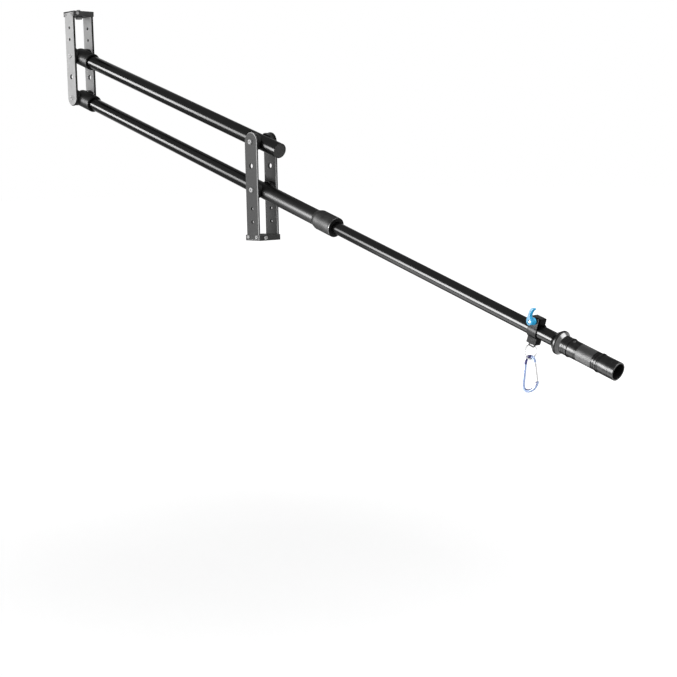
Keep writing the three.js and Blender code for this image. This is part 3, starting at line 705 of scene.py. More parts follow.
def plate_part(middle, normal):
    """0 for the faces, 1 for the rim's chamfers, 2 for the sawn edges and the holes."""
    if abs(normal.y) > 0.98:
        return 0
    at_hole = any((Vector((x, z)) - middle.xz).length < radius + HOLE_RIM for x, z, radius in PLATE_HOLES)
    return 1 if abs(normal.y) > 0.3 and not at_hole else 2


def painted_shade_top(middle, normal):
    """A far plate's round top is painted black at its rim chamfer: painted shade and the painted dark
    reflection of the arm and disc in front of it.
    """
    part = plate_part(middle, normal)
    return 2 if part == 1 and middle.z > PIVOT_SPACING else part


for prefix, place, body, finishes in (
    ("base", BASE @ shift(z=LOW_PIVOT), "base", (grey_face, chamfer_painted_highlight, grey_edge)),
    ("camera", FRONT @ shift(z=-LOW_PIVOT) @ turn(pi, "Y"), "camera_bracket",
     (reflection_painted_face, silver_edge, silver_edge)),
):
    for label, y in (("near", -INSIDE), ("far", OUTSIDE)):
        piece = duplicate(plate, f"{prefix}_bracket_plate_{label}")
        paint(piece, finishes, plate_part if label == "near" else painted_shade_top)
        fit(piece, place @ shift(y=y), body, finishes[0], f"{prefix}_plate_{label}")
bpy.data.meshes.remove(plate.data)
print("plates:", [piece.name for piece in made])

# %% [markdown]
# ## Cross blocks
# A block ties each pair of plates: the lower one is the foot by which the crane is screwed down, and
# the upper one, turned over, is the camera platform. It is a cube with two pockets for the plates.
# Its outer edges are bevelled before the holes are drilled, so the drilled rims stay crisp.
# %% The two blocks
BLOCK_LENGTH = 47
BLOCK_THICKNESS = 12
SCREW_DEPTH = 9
LOCK_DEPTH = 6
LOCK_HOLE = 2.7
BORE_CHAMFER = 0.6
INSERT_RADIUS = 7
CAMERA_SHANK = 4.7
LOCK_OFFSETS = {"base": 13, "camera": 19}


def cross_block(name, bore, lock_offset, lock_turn):
    half = BLOCK_LENGTH / 2
    pocket = PLATE_WIDTH / 2 + FIT
    piece = box(name, (-half, -OUTSIDE, 0), (half, OUTSIDE, BLOCK_THICKNESS))
    above = BLOCK_THICKNESS + OVERRUN
    for side in (-1, 1):
        low, high = sorted((side * INSIDE, side * (OUTSIDE + OVERRUN)))
        cut(piece, box("pocket", (-pocket, low, LEDGE), (pocket, high, above)))
    soften(piece, 0.7, segments=3, angle=50)
    for side in (-1, 1):
        for end in (-1, 1):
            reach = sorted((side * (INSIDE - SCREW_DEPTH - FIT), side * (INSIDE + OVERRUN)))
            hole = bar("hole", *reach, SCREW_HOLE, steps=24)
            cut(piece, settle(hole, shift(end * CORNER_SCREW_X, 0, LEDGE + CORNER_SCREW_EDGE) @ ACROSS))
    lock = bar("lock_hole", half - LOCK_DEPTH - FIT, half + OVERRUN, LOCK_HOLE, steps=24)
    cut(piece, settle(lock, shift(0, -lock_offset, BLOCK_THICKNESS / 2) @ turn(lock_turn, "Z")))
    wide = bore + FIT
    flare = OVERRUN + BORE_CHAMFER
    tool = turned("bore", [
        [-OVERRUN, 0], [-OVERRUN, wide + flare], [BORE_CHAMFER, wide],
        [BLOCK_THICKNESS - BORE_CHAMFER, wide], [above, wide + flare], [above, 0],
    ])
    return cut(piece, settle(tool, UPEND))


base_block = cross_block("base_cross_block", INSERT_RADIUS, LOCK_OFFSETS["base"], 0)
fit(base_block, BASE, "base", block_grey, "base_block")
camera_block = cross_block("camera_cross_block", CAMERA_SHANK, LOCK_OFFSETS["camera"], pi)
fit(camera_block, FRONT @ turn(pi, "Y"), "camera_bracket", block_grey, "camera_block")
print("blocks:", len(base_block.data.polygons), "and", len(camera_block.data.polygons), "faces")

# %% [markdown]
# ## Threaded insert and camera screw
# The base block holds a threaded steel bush, and the platform carries a thumb screw for the camera.
# The bush is turned, then a threaded bar is cut from its bore.
# %% Bush
CAMERA_PITCH = 1.27
INSERT_BORE = 4.2
INSERT_FLANGE = 9.5
INSERT_TOP = BLOCK_THICKNESS + 1.5
insert = turned("tripod_bush", [
    [0, 0], [0, INSERT_RADIUS, 0.3], [BLOCK_THICKNESS, INSERT_RADIUS],
    [BLOCK_THICKNESS, INSERT_FLANGE, 0.3], [INSERT_TOP, INSERT_FLANGE, 0.5], [INSERT_TOP, 0],
], steps=SCREW_STEPS)
cut(insert, thread("bush_thread", -PROUD, BLOCK_THICKNESS + 3, INSERT_BORE + 0.5, CAMERA_PITCH))
fit(insert, BASE @ UPEND, "base", dark_steel, "tripod_insert")
print("bush has", len(insert.data.polygons), "faces")

# %% [markdown]
# The thumb screw's head has a shallow ring groove below and flutes round its rim, so that fingers
# can grip it. The flutes come from one small cutter that a spin copies round the head.
# %% Thumb screw and washer
WASHER_RADIUS = 9.5
WASHER_HEIGHT = 1
HEAD_RADIUS = 8
HEAD_TOP = -BLOCK_THICKNESS - WASHER_HEIGHT
HEAD_FOOT = HEAD_TOP - 5
HEAD_GROOVE = 0.4
NECK_RADIUS = 4.1
NECK_TOP = -3
FLUTES = 28
FLUTE_RADIUS = 0.62
washer = turned("camera_washer", [
    [0, CAMERA_SHANK + FIT], [0, WASHER_RADIUS, 0.2], [WASHER_HEIGHT, WASHER_RADIUS, 0.2],
    [WASHER_HEIGHT, CAMERA_SHANK + FIT], [0, CAMERA_SHANK + FIT],
], steps=SCREW_STEPS)
fit(washer, FRONT @ shift(z=HEAD_TOP) @ UPEND, "camera_bracket", plastic_black, "camera_screw_washer")

thumb_screw = turned("camera_thumb_screw", [
    [HEAD_FOOT, 0], [HEAD_FOOT, 2.6], [HEAD_FOOT + HEAD_GROOVE, 3.1], [HEAD_FOOT + HEAD_GROOVE, 5.4],
    [HEAD_FOOT, 5.8], [HEAD_FOOT, HEAD_RADIUS, 0.6], [HEAD_TOP - FIT, HEAD_RADIUS, 0.6],
    [HEAD_TOP - FIT, NECK_RADIUS], [NECK_TOP, NECK_RADIUS], [NECK_TOP, 0],
], steps=FINE_STEPS)
flute = bar("flutes", HEAD_FOOT - PROUD, HEAD_TOP + 0.5, FLUTE_RADIUS, steps=12)
settle(flute, shift(z=HEAD_RADIUS))
edit(flute)
select_mesh()
bpy.ops.mesh.spin(
    steps=FLUTES, dupli=True, angle=tau * (FLUTES - 1) / FLUTES, center=(0, 0, 0), axis=(1, 0, 0),
)
leave()
cut(thumb_screw, flute)
join(thumb_screw, thread("camera_thread", NECK_TOP - 0.5, 4.5, CAMERA_SHANK, CAMERA_PITCH))
fit(thumb_screw, FRONT @ UPEND, "camera_screw", worn_steel, "camera_screw")
print("thumb screw has", len(thumb_screw.data.polygons), "faces")

# %% [markdown]
# ## Fasteners of the brackets
# Each kind of screw is modelled once, as a pattern. The pivot bolts run through both plates and end
# in a nut, which is a hexagon trimmed by a turned shape, so that its corners are rounded over as on
# a real nut.
# %% Patterns of screws, bolts and nuts
LOWER_BORE = 12.9
PIVOT_HEAD = {"head": 5, "height": 3, "edge": 0.6}
BOLT_PITCH = 1
BOLT_THREAD = 9
BOLT_LENGTH = OUTSIDE * 2 + 6.5
corner_length = PLATE_THICKNESS + SCREW_DEPTH
short_length = OUTSIDE - LOWER_BORE - FIT
corner_screw = socket_screw("corner_screw_pattern", head=3.5, height=2.2, shank=2, length=corner_length)
lock_screw = socket_screw("lock_screw_pattern", head=3.75, height=3, shank=2.4, length=LOCK_DEPTH)
short_screw = socket_screw("short_screw_pattern", shank=3, length=short_length, **PIVOT_HEAD)
bolt = socket_screw("bolt_pattern", shank=2.95, length=BOLT_LENGTH - BOLT_THREAD, **PIVOT_HEAD)
join(bolt, thread("bolt_thread", BOLT_LENGTH - BOLT_THREAD - 0.5, BOLT_LENGTH, 3, BOLT_PITCH))


def hex_nut(name, radius, height, bore):
    flat = radius * cos(pi / 6)
    piece = hexagon(name, 0, height, flat * 2)
    slope = (radius - flat) * 0.58
    dome = turned("dome", [
        [0, 0], [0, flat + 0.05], [slope, radius + 0.05],
        [height - slope, radius + 0.05], [height, flat + 0.05], [height, 0],
    ], steps=SCREW_STEPS)
    combine(piece, [dome], "INTERSECT")
    return cut(piece, thread("nut_thread", -PROUD, height + PROUD, bore, BOLT_PITCH))


nut = hex_nut("nut_pattern", radius=5.6, height=5, bore=PIVOT_HOLE)
print("a pivot bolt is", BOLT_LENGTH, "mm long")

# %% [markdown]
# Every fastener is a copy of its pattern, turned so that its head lies on the plate's outer face.
# The lower arm turns on two short screws, because the extension slides between them.
# %% Fasteners in their places
def fasten(pattern, name, place, body, node, finish=bright_steel):
    return fit(duplicate(pattern, name), place, body, finish, node)


for prefix, place, body, rise, metal in (
    ("base", BASE, "base", 1, bright_steel), ("camera", FRONT, "camera_bracket", -1, worn_steel),
):
    count = 0
    for side in (-1, 1):
        for end in (-1, 1):
            count += 1
            seat = place @ shift(end * CORNER_SCREW_X, side * OUTSIDE, rise * (LEDGE + CORNER_SCREW_EDGE))
            seat = seat @ turn(-side * pi / 2, "Z")
            node = f"{prefix}_corner_screw_{count}"
            fasten(corner_screw, f"{prefix}_plate_screw_{count}", seat, body, node, metal)
    seat = place @ shift(BLOCK_LENGTH / 2, -LOCK_OFFSETS[prefix], rise * BLOCK_THICKNESS / 2)
    fasten(lock_screw, f"{prefix}_block_screw", seat @ turn(pi, "Z"), body, f"{prefix}_lock_screw", metal)

for label, side in (("near", -1), ("far", 1)):
    seat = BASE @ shift(0, side * OUTSIDE, LOW_PIVOT) @ turn(-side * pi / 2, "Z")
    fasten(short_screw, f"arm_pivot_screw_{label}", seat, "base", f"base_lower_screw_{label}")
for prefix, place, body in (
    ("base_upper", BASE @ shift(z=LOW_PIVOT + PIVOT_SPACING), "base"),
    ("camera_upper", FRONT @ shift(z=-LOW_PIVOT), "camera_bracket"),
    ("camera_lower", FRONT @ shift(z=-LOW_PIVOT - PIVOT_SPACING), "camera_bracket"),
):
    fasten(bolt, f"{prefix}_pivot_bolt", place @ shift(y=-OUTSIDE) @ ACROSS, body, f"{prefix}_bolt")
    fasten(nut, f"{prefix}_pivot_nut", place @ shift(y=OUTSIDE) @ ACROSS, body, f"{prefix}_nut")
for pattern in (corner_screw, lock_screw, short_screw, bolt, nut):
    bpy.data.meshes.remove(pattern.data)
print("fasteners so far:", len(made), "pieces")

# %% [markdown]
# ## Arms
# Each arm is a tube whose camera end sits in a turned cap with a rounded nose. The tube is a closed
# section spun round, so it has a real wall and bore. The pivot holes are cut through, and the cap's
# rear face, which stays in its own shade, gets a duller black.
# %% Tubes, sleeve and caps
UPPER_TUBE = 15.9
LOWER_TUBE = 15
SLEEVE_TUBE = 16.3
UPPER_BORE = 14
TUBE_FRONT = -ARM_REACH - 4
UPPER_REAR = 65
LOWER_REAR = 214
SLEEVE_FRONT = -26
SLEEVE_REAR = 205
CAP_RADIUS = 20
CAP_FRONT = -ARM_REACH - 10
CAP_REAR = -ARM_REACH + 56
CAP_NOSE = 12
shade_black = grained("shade black", "satin_black", tone(8), tone(13), 0.6, Specular_IOR_Level=0.1)


def cross_hole(along, radius):
    """A cutter for the pivot hole across an arm."""
    tool = bar("cross_hole", -radius - OVERRUN, radius + OVERRUN, PIVOT_HOLE)
    return settle(tool, shift(along) @ ACROSS)


def arm_cap(name, tube):
    bore = tube + FIT
    piece = turned(name, [
        [CAP_FRONT, 0], [CAP_FRONT, CAP_RADIUS, CAP_NOSE], [CAP_REAR, CAP_RADIUS, 0.8],
        [CAP_REAR, bore, 0.3], [TUBE_FRONT - FIT, bore], [TUBE_FRONT - FIT, 0],
    ], steps=FINE_STEPS)
    cut(piece, cross_hole(-ARM_REACH, CAP_RADIUS))
    paint(piece, (cap_black, shade_black), lambda middle, normal: int(
        normal.x > 0.9 and middle.x > CAP_REAR - 1))
    return piece


plug_grey = grained("plug grey", "black_plastic", tone(40), tone(56), 0.5, Specular_IOR_Level=0.2)
upper = pipe("upper_arm_tube", TUBE_FRONT, UPPER_REAR, UPPER_TUBE, UPPER_BORE)
cut(upper, cross_hole(0, UPPER_TUBE), cross_hole(-ARM_REACH, UPPER_TUBE))
paint(upper, (black_tube, plug_grey), lambda middle, normal: int(middle.x > UPPER_REAR - 0.1))
fit(upper, UPPER, "upper_arm", black_tube, "upper_tube")
lower = pipe("lower_arm_tube", TUBE_FRONT, LOWER_REAR, LOWER_TUBE, LOWER_BORE)
cut(lower, cross_hole(0, LOWER_TUBE), cross_hole(-ARM_REACH, LOWER_TUBE))
fit(lower, LOWER, "lower_arm", black_tube, "lower_tube")
sleeve = pipe("lower_arm_sleeve", SLEEVE_FRONT, SLEEVE_REAR, SLEEVE_TUBE, LOWER_TUBE + FIT)
cut(sleeve, cross_hole(0, SLEEVE_TUBE))
fit(sleeve, LOWER, "lower_arm", sleeve_tube, "lower_sleeve")
fit(arm_cap("upper_arm_cap", UPPER_TUBE), UPPER, "upper_arm", cap_black, "upper_front_cap")
fit(arm_cap("lower_arm_cap", LOWER_TUBE), LOWER, "lower_arm", cap_black, "lower_front_cap")
print("the upper tube is", round(UPPER_REAR - TUBE_FRONT), "mm long")

# %% [markdown]
# The upper arm's tail is closed by a moulded plug with a shallow dished face. Beside every pivot, a
# plastic disc fills the space between arm and plate. The disc is hollowed on its inner side by a bar
# as thick as the arm, which gives the saddle that keeps it from turning.
# %% Plug and friction discs
PLUG_START = 52.4
PLUG_FLOOR = 61.4
PLUG_END = 64.4
PLUG_RADIUS = UPPER_BORE - FIT
PLUG_BORE = 10.7
plug = turned("upper_arm_plug", [
    [PLUG_START, PLUG_BORE], [PLUG_START, PLUG_RADIUS, 0.4], [PLUG_END, PLUG_RADIUS, 0.2],
    [PLUG_END, 12.4], [PLUG_END - 0.4, 11.9], [PLUG_END - 0.5, 0],
    [PLUG_FLOOR, 0], [PLUG_FLOOR, PLUG_BORE], [PLUG_START, PLUG_BORE],
])
fit(plug, UPPER, "upper_arm", plug_grey, "upper_rear_plug")

DISC_RADIUS = 18.5
DISC_INNER = 13
DISC_GROOVE = 3.1


def friction_disc(name, arm_radius, side):
    outer = INSIDE - FIT
    groove = outer - DISC_GROOVE
    piece = turned(name, [
        [DISC_INNER, 0], [DISC_INNER, DISC_RADIUS, 0.3], [groove - 0.3, DISC_RADIUS],
        [groove, DISC_RADIUS - 0.35], [groove + 0.3, DISC_RADIUS], [outer, DISC_RADIUS, 0.8], [outer, 0],
    ], steps=FINE_STEPS)
    settle(piece, ACROSS)
    reach = DISC_RADIUS + OVERRUN
    seat = bar("seat", -reach, reach, arm_radius + FIT, steps=FINE_STEPS)
    hole = settle(bar("hole", 0, outer + OVERRUN, PIVOT_HOLE), ACROSS)
    cut(piece, seat, hole)
    return settle(piece, turn(pi if side < 0 else 0, "Z"))


for arm, place, base_radius in (("upper", UPPER, UPPER_TUBE), ("lower", LOWER, SLEEVE_TUBE)):
    for end, arm_radius, along in (("base", base_radius, 0), ("front", CAP_RADIUS, -ARM_REACH)):
        for label, side in (("near", -1), ("far", 1)):
            piece = friction_disc(f"{arm}_{end}_saddle_{label}", arm_radius, side)
            fit(piece, place @ shift(along), f"{arm}_arm", plastic_black, f"{arm}_{end}_disc_{label}")
print("arms dressed:", len(made), "pieces")

# %% [markdown]
# ## Twist collar
# The extension is locked by a collar that squeezes a slotted collet. The collar's section has a
# tapered shoulder, a step inside and a thin polished lip at its mouth, which shows as a light ring
# before the recess. The mouth's end face, the recess and the wiper ring in it are painted black as
# shade.
# %% Collar and wiper
COLLAR_RADIUS = 20.4
COLLAR_START = 183
COLLAR_SHOULDER = 193
COLLAR_END = 241
COLLAR_MOUTH = 14
COLLAR_FRONT_WALL = COLLAR_END - 2.6
COLLAR_GROOVE = COLLAR_END - 4.3
COLLET_RADIUS = 17.3
EXTENSION_TUBE = 12.4
lip_bright = turned_metal("lip bright", "satin_black", tone(60), tone(84), 0.3, Metallic=0.8)
collar = turned("twist_lock_collar", [
    [COLLAR_START, SLEEVE_TUBE + FIT], [COLLAR_START + 0.6, SLEEVE_TUBE + 0.9],
    [COLLAR_SHOULDER, COLLAR_RADIUS, 1.2], [COLLAR_GROOVE - 0.3, COLLAR_RADIUS],
    [COLLAR_GROOVE, COLLAR_RADIUS - 0.3], [COLLAR_GROOVE + 0.3, COLLAR_RADIUS],
    [COLLAR_END, COLLAR_RADIUS, 0.8], [COLLAR_END, COLLAR_MOUTH, 0.4], [COLLAR_FRONT_WALL, COLLAR_MOUTH],
    [COLLAR_FRONT_WALL, COLLET_RADIUS + FIT], [SLEEVE_REAR, COLLET_RADIUS + FIT],
    [SLEEVE_REAR, SLEEVE_TUBE + FIT], [COLLAR_START, SLEEVE_TUBE + FIT],
], steps=FINE_STEPS)


def collar_part(middle, normal):
    """0 for the outside and the bore, 1 for the polished lip, 2 for the mouth, painted black as shade."""
    if middle.x < COLLAR_END - 1.2:
        return 0
    return 1 if middle.yz.length > COLLAR_RADIUS - 1.2 and normal.x < 0.98 else 2


paint(collar, (collar_black, lip_bright, shade_black), collar_part)
fit(collar, LOWER, "twist_collar", collar_black, "twist_collar")
# The wiper ring takes the painted shade black of the mouth.
wiper = pipe("collar_wiper_ring", COLLAR_END - 2, COLLAR_END, 13.7, EXTENSION_TUBE + FIT, edge=0.3)
fit(wiper, LOWER, "twist_collar", shade_black, "collar_wiper")
print("collar has", len(collar.data.polygons), "faces")

# %% [markdown]
# The collet is a short split cone inside the collar, out of sight. Its four slots, cut by one box in
# four turns, let it close on the extension when the collar is twisted.
# %% Collet
COLLET_START = SLEEVE_REAR + FIT
COLLET_END = COLLAR_FRONT_WALL - FIT
COLLET_STEP = LOWER_REAR + FIT
COLLET_TAPER = 2.1
SLOT_LENGTH = 15
SLOT_HALF = 0.8
collet = turned("slotted_collet", [
    [COLLET_START, LOWER_TUBE + FIT], [COLLET_START, COLLET_RADIUS, 0.4],
    [COLLET_END - COLLET_TAPER, COLLET_RADIUS], [COLLET_END, COLLET_RADIUS - COLLET_TAPER],
    [COLLET_END, EXTENSION_TUBE + FIT], [COLLET_STEP, EXTENSION_TUBE + FIT],
    [COLLET_STEP, LOWER_TUBE + FIT], [COLLET_START, LOWER_TUBE + FIT],
])
for k in range(4):
    slot = box("slot", (COLLET_END - SLOT_LENGTH, 0, -SLOT_HALF), (COLLET_END + OVERRUN, 25, SLOT_HALF))
    cut(collet, settle(slot, turn(k * pi / 2, "X")))
fit(collet, LOWER, "lower_arm", plastic_black, "collet")
print("collar dressed:", len(made), "pieces")

# %% [markdown]
# ## Extension and handle
# The extension is a thinner tube that slides in the lower arm. A plug closes its inner end, and its
# rim guides the tube in the arm's bore.
# %% Extension tube
EXTENSION_START = 100
EXTENSION_END = 930
EXTENSION_BORE = 10.9
extension = pipe("extension_tube_skin", EXTENSION_START, EXTENSION_END, EXTENSION_TUBE, EXTENSION_BORE)
fit(extension, LOWER, "extension", black_tube, "extension_tube")
RIM_START = EXTENSION_START - 4
RIM_END = EXTENSION_START - FIT
RIM_RADIUS = 12.65
STEM_END = 114
STEM_RADIUS = EXTENSION_BORE - FIT
inner_plug = turned("extension_end_plug", [
    [RIM_START, 0], [RIM_START, RIM_RADIUS, 0.5], [RIM_END, RIM_RADIUS, 0.2],
    [RIM_END, STEM_RADIUS], [STEM_END, STEM_RADIUS, 0.6], [STEM_END, 0],
])
fit(inner_plug, LOWER, "extension", plastic_black, "extension_inner_plug")
print("the extension is", EXTENSION_END - EXTENSION_START, "mm long")

# %% [markdown]
# On the extension's end sit three turned pieces of one profile each: the flange that stops the
# weights, the grip and the tail with an open mouth. Fine grooves break their long straight sides.
# %% Weight stop
HANDLE_BORE = EXTENSION_TUBE + FIT
STOP_RADIUS = 21.7
HANDLE_RADIUS = 16.4
GRIP_RADIUS = 15.9
RING_RADIUS = 17.2
FIRST_JOINT = 853.9
SECOND_JOINT = 917.9
RING_WIDTH = 2.2
STOP_START = 820
STOP_END = FIRST_JOINT - FIT
STOP_FOOT = 841
FLANGE_START = 829
FLANGE_END = 835
FLANGE_CHAMFER = 1.2
STOP_GROOVES = (845.2, 848.6)


def grooves(radius, *places, width=1.6, depth=0.7):
    """Profile rows for square grooves that start at the places."""
    rows = []
    for place in places:
        rows += [[place, radius, 0.15], [place, radius - depth], [place + width, radius - depth],
                 [place + width, radius, 0.15]]
    return rows


stop = turned("weight_flange", [
    [STOP_START, HANDLE_BORE], [STOP_START + 0.6, HANDLE_BORE + 1.6, 0.4],
    [FLANGE_START, STOP_RADIUS - FLANGE_CHAMFER], [FLANGE_START + FLANGE_CHAMFER, STOP_RADIUS, 0.6],
    [FLANGE_END - FLANGE_CHAMFER, STOP_RADIUS, 0.8], [FLANGE_END, STOP_RADIUS - FLANGE_CHAMFER],
    [STOP_FOOT, HANDLE_RADIUS, 0.8], *grooves(HANDLE_RADIUS, *STOP_GROOVES, width=0.7, depth=0.4),
    [STOP_END, HANDLE_RADIUS, 0.4], [STOP_END, HANDLE_BORE], [STOP_START, HANDLE_BORE],
], steps=FINE_STEPS)
paint(stop, (handle_black, handle_bright), lambda middle, normal: int(
    FLANGE_END + 0.2 < middle.x < STOP_FOOT - 0.2 and normal.x > 0.1))
fit(stop, LOWER, "extension", handle_black, "weight_stop")
print("the flange is", 2 * STOP_RADIUS, "mm across")

# %% [markdown]
# The grip's middle is knurled. Its long faces are divided and poked into triangles, the old edges
# are dissolved, and each diamond that is left is poked again and raised at its centre.
# %% Knurled grip
GRIP_GROOVES = (870.6, 873.2)
REAR_GROOVES = (SECOND_JOINT - 8.4, SECOND_JOINT - 4.2)
KNURL_FLOOR = 15
KNURL_START = 876
KNURL_END = 908.5
KNURL_ROWS = 30
KNURL_RISE = 0.13


def knurl(piece, start, end, rows, rise):
    edit(piece, "EDGE")

    def inside(middle):
        return start < middle.x < end and middle.yz.length > KNURL_FLOOR

    pick(piece, "edges", lambda middle, run: inside(middle) and abs(run.x) > 1)
    bpy.ops.mesh.subdivide(number_cuts=rows - 1)
    pick(piece, "faces", lambda middle, normal: inside(middle) and abs(normal.x) < 0.1)
    bpy.ops.mesh.poke()
    pick(piece, "edges", lambda middle, run: inside(middle) and (
        abs(run.x) < 0.01 or run.yz.length < 0.01))
    bpy.ops.mesh.dissolve_edges(use_verts=False)
    pick(piece, "faces", lambda middle, normal: inside(middle) and abs(normal.x) < 0.1)
    bpy.ops.mesh.poke(offset=rise)
    leave()


def raised_ring(joint, radius):
    """Profile rows for the raised ring that starts a piece at a joint."""
    return [
        [joint, HANDLE_BORE], [joint, RING_RADIUS, 0.5], [joint + RING_WIDTH, RING_RADIUS, 0.5],
        [joint + RING_WIDTH, radius],
    ]


grip = turned("knurled_grip", [
    *raised_ring(FIRST_JOINT, GRIP_RADIUS), *grooves(GRIP_RADIUS, *GRIP_GROOVES, width=0.8, depth=0.4),
    [KNURL_START, GRIP_RADIUS], [KNURL_START, GRIP_RADIUS - KNURL_RISE],
    [KNURL_END, GRIP_RADIUS - KNURL_RISE], [KNURL_END, GRIP_RADIUS], *grooves(GRIP_RADIUS, *REAR_GROOVES),
    [SECOND_JOINT - FIT, GRIP_RADIUS, 0.3], [SECOND_JOINT - FIT, HANDLE_BORE], [FIRST_JOINT, HANDLE_BORE],
], steps=90)
knurl(grip, KNURL_START, KNURL_END, KNURL_ROWS, KNURL_RISE)
print("grip has", len(grip.data.polygons), "faces")

# %% [markdown]
# A small set screw in the grip's side holds it on the tube. The tail is an open cup with a polished
# rim, and its inside is painted black as shade.
# %% Set screw and tail
SET_TURN = turn(radians(20), "X")
SET_SCREW = shift(861.5)
SET_FLOOR = 13.6
SET_TOP = 16.1
TAIL_GROOVE = SECOND_JOINT + RING_WIDTH + 2.1
FINE_GROOVE = 944.2
TAIL_END = 956
TAIL_FLOOR = EXTENSION_END + FIT
TAIL_MOUTH = 14
set_hole = bar("set_hole", SET_FLOOR - FIT, 20, 2.3, steps=24)
cut(grip, settle(set_hole, SET_TURN @ SET_SCREW @ UPEND))
paint(grip, (handle_black, knurl_grey), lambda middle, normal: int(
    KNURL_START < middle.x < KNURL_END and middle.yz.length > KNURL_FLOOR))
fit(grip, LOWER, "extension", handle_black, "handle_grip")
set_screw = turned("grip_set_screw", [
    [SET_FLOOR, 0], [SET_FLOOR, 2, 0.2], [SET_TOP, 2, 0.3], [SET_TOP, 0],
], steps=32)
cut(set_screw, hexagon("set_socket", SET_FLOOR + 1, 18, 2))
fit(set_screw, LOWER @ SET_TURN @ SET_SCREW @ UPEND, "extension", dark_steel, "handle_set_screw")

tail = turned("handle_tail_cup", [
    *raised_ring(SECOND_JOINT, HANDLE_RADIUS), *grooves(HANDLE_RADIUS, TAIL_GROOVE),
    *grooves(HANDLE_RADIUS, FINE_GROOVE, width=0.6, depth=0.3),
    [TAIL_END, HANDLE_RADIUS, 0.8], [TAIL_END, TAIL_MOUTH, 0.5], [TAIL_FLOOR, TAIL_MOUTH],
    [TAIL_FLOOR, HANDLE_BORE], [SECOND_JOINT, HANDLE_BORE],
], steps=FINE_STEPS)
paint(tail, (handle_black, lip_bright, shade_black), lambda middle, normal: (
    1 if middle.x > TAIL_END - 0.9 else 2 if middle.yz.length < TAIL_MOUTH + 0.2 else 0))
fit(tail, LOWER, "extension", handle_black, "handle_tail")
print("handle dressed:", len(made), "pieces")

# %% [markdown]
# ## Clamp
# The weight hook hangs from a clamp that slides on the extension: a split band with a thin ear, a
# block on top for the screw and one underneath for the eye. Outlines are extruded line by line, then
# filled and pulled to their length, and the solids are joined before the bore and the slit are cut.
# %% Clamp body
CLAMP = LOWER @ shift(776)
CLAMP_HALF = 10
CLAMP_BAND = 15
SLIT_NEAR = -CLAMP_BAND + 2.3
EAR_TOP = 25
TOP_FAR = 6.5
SCREW_HEIGHT = 18.3
BLOCK_HALF = 7.4
BLOCK_DROP = 24.6
TOP_FOOT = 12.5
FLANK = (13.6, 4)
BLOCK_BEVEL = 1.4
SLIT_WIDTH = 2.7
DRAW_HOLE = 2.7
EYE_SHIFT = -2
EYE_HALF = 6
EYE_HOLE = 1.55
EYE_SEAT = 7.3


def prism(name, outline, pull):
    """Fills an outline of points and pulls it along a direction."""
    piece = new_line(name, [Vector(point) for point in outline] + [Vector(outline[0])])
    select_mesh()
    bpy.ops.mesh.edge_face_add()
    bpy.ops.mesh.extrude_region_move(TRANSFORM_OT_translate={"value": pull})
    outward()
    leave()
    return piece


def clamp_prism(name, rows):
    return prism(name, [(-CLAMP_HALF, y, z) for y, z in rows], (2 * CLAMP_HALF, 0, 0))


def eye_hole(side):
    tool = bar("eye_hole", -BLOCK_DROP - OVERRUN, -BLOCK_DROP + EYE_SEAT, EYE_HOLE, steps=24)
    return settle(tool, shift(EYE_SHIFT + side * EYE_HALF) @ UPEND)


clamp = bar("hook_clamp", -CLAMP_HALF, CLAMP_HALF, CLAMP_BAND, steps=FINE_STEPS)
ear_far = SLIT_NEAR + 0.5
join(
    clamp,
    clamp_prism("top", [
        (SLIT_NEAR, 0), (SLIT_NEAR, EAR_TOP), (TOP_FAR - BLOCK_BEVEL, EAR_TOP),
        (TOP_FAR, EAR_TOP - BLOCK_BEVEL), (TOP_FAR, TOP_FOOT), FLANK, (0, 0),
    ]),
    clamp_prism("ear", [(-CLAMP_BAND, 6), (-CLAMP_BAND, EAR_TOP), (ear_far, EAR_TOP), (ear_far, 6)]),
    clamp_prism("foot", [
        (-BLOCK_HALF, 0), (BLOCK_HALF, 0), (BLOCK_HALF, -BLOCK_DROP), (-BLOCK_HALF, -BLOCK_DROP),
    ]),
)
soften(clamp, 1.0, segments=3, angle=32)
past = CLAMP_HALF + OVERRUN
cut(
    clamp,
    bar("bore", -past, past, EXTENSION_TUBE + FIT, steps=FINE_STEPS),
    box("slit", (-past, SLIT_NEAR, 4), (past, SLIT_NEAR + SLIT_WIDTH, EAR_TOP + OVERRUN)),
    settle(
        bar("screw_hole", -CLAMP_BAND - OVERRUN, TOP_FAR + OVERRUN, DRAW_HOLE),
        shift(z=SCREW_HEIGHT) @ ACROSS,
    ),
    eye_hole(-1),
    eye_hole(1),
)
fit(clamp, CLAMP, "clamp", clamp_black, "clamp_body")
print("clamp has", len(clamp.data.polygons), "faces")

# %% [markdown]
# ## Lever
# The clamp screw is turned by a blue lever shaped like a hooked thumb. Its outline is a smooth curve
# through listed points. The curve passes through every point, and its knots follow the
# distances between them, so that it doesn't loop where two points lie close.
# %% Smooth paths
def smooth_path(points, steps):
    """Points along a centripetal Catmull-Rom curve."""
    ends = [2 * points[0] - points[1], *points, 2 * points[-1] - points[-2]]
    path = []
    for row in zip(ends, ends[1:], ends[2:], ends[3:]):
        knots = [0]
        for first, second in zip(row, row[1:]):
            knots.append(knots[-1] + (second - first).length ** 0.5)
        for k in range(steps):
            at = knots[1] + (knots[2] - knots[1]) * k / steps
            mixed = list(row)
            for span in (1, 2):
                mixed = [
                    first.lerp(second, (at - knots[i]) / (knots[i + span] - knots[i]))
                    for i, (first, second) in enumerate(zip(mixed, mixed[1:]))
                ]
            path.append(mixed[0].lerp(mixed[1], (at - knots[1]) / (knots[2] - knots[1])))
    path.append(points[-1])
    return path


corner = [Vector((0, 0, 0)), Vector((10, 0, 0)), Vector((10, 10, 0))]
print("a corner of 3 points becomes", len(smooth_path(corner, 8)), "points")

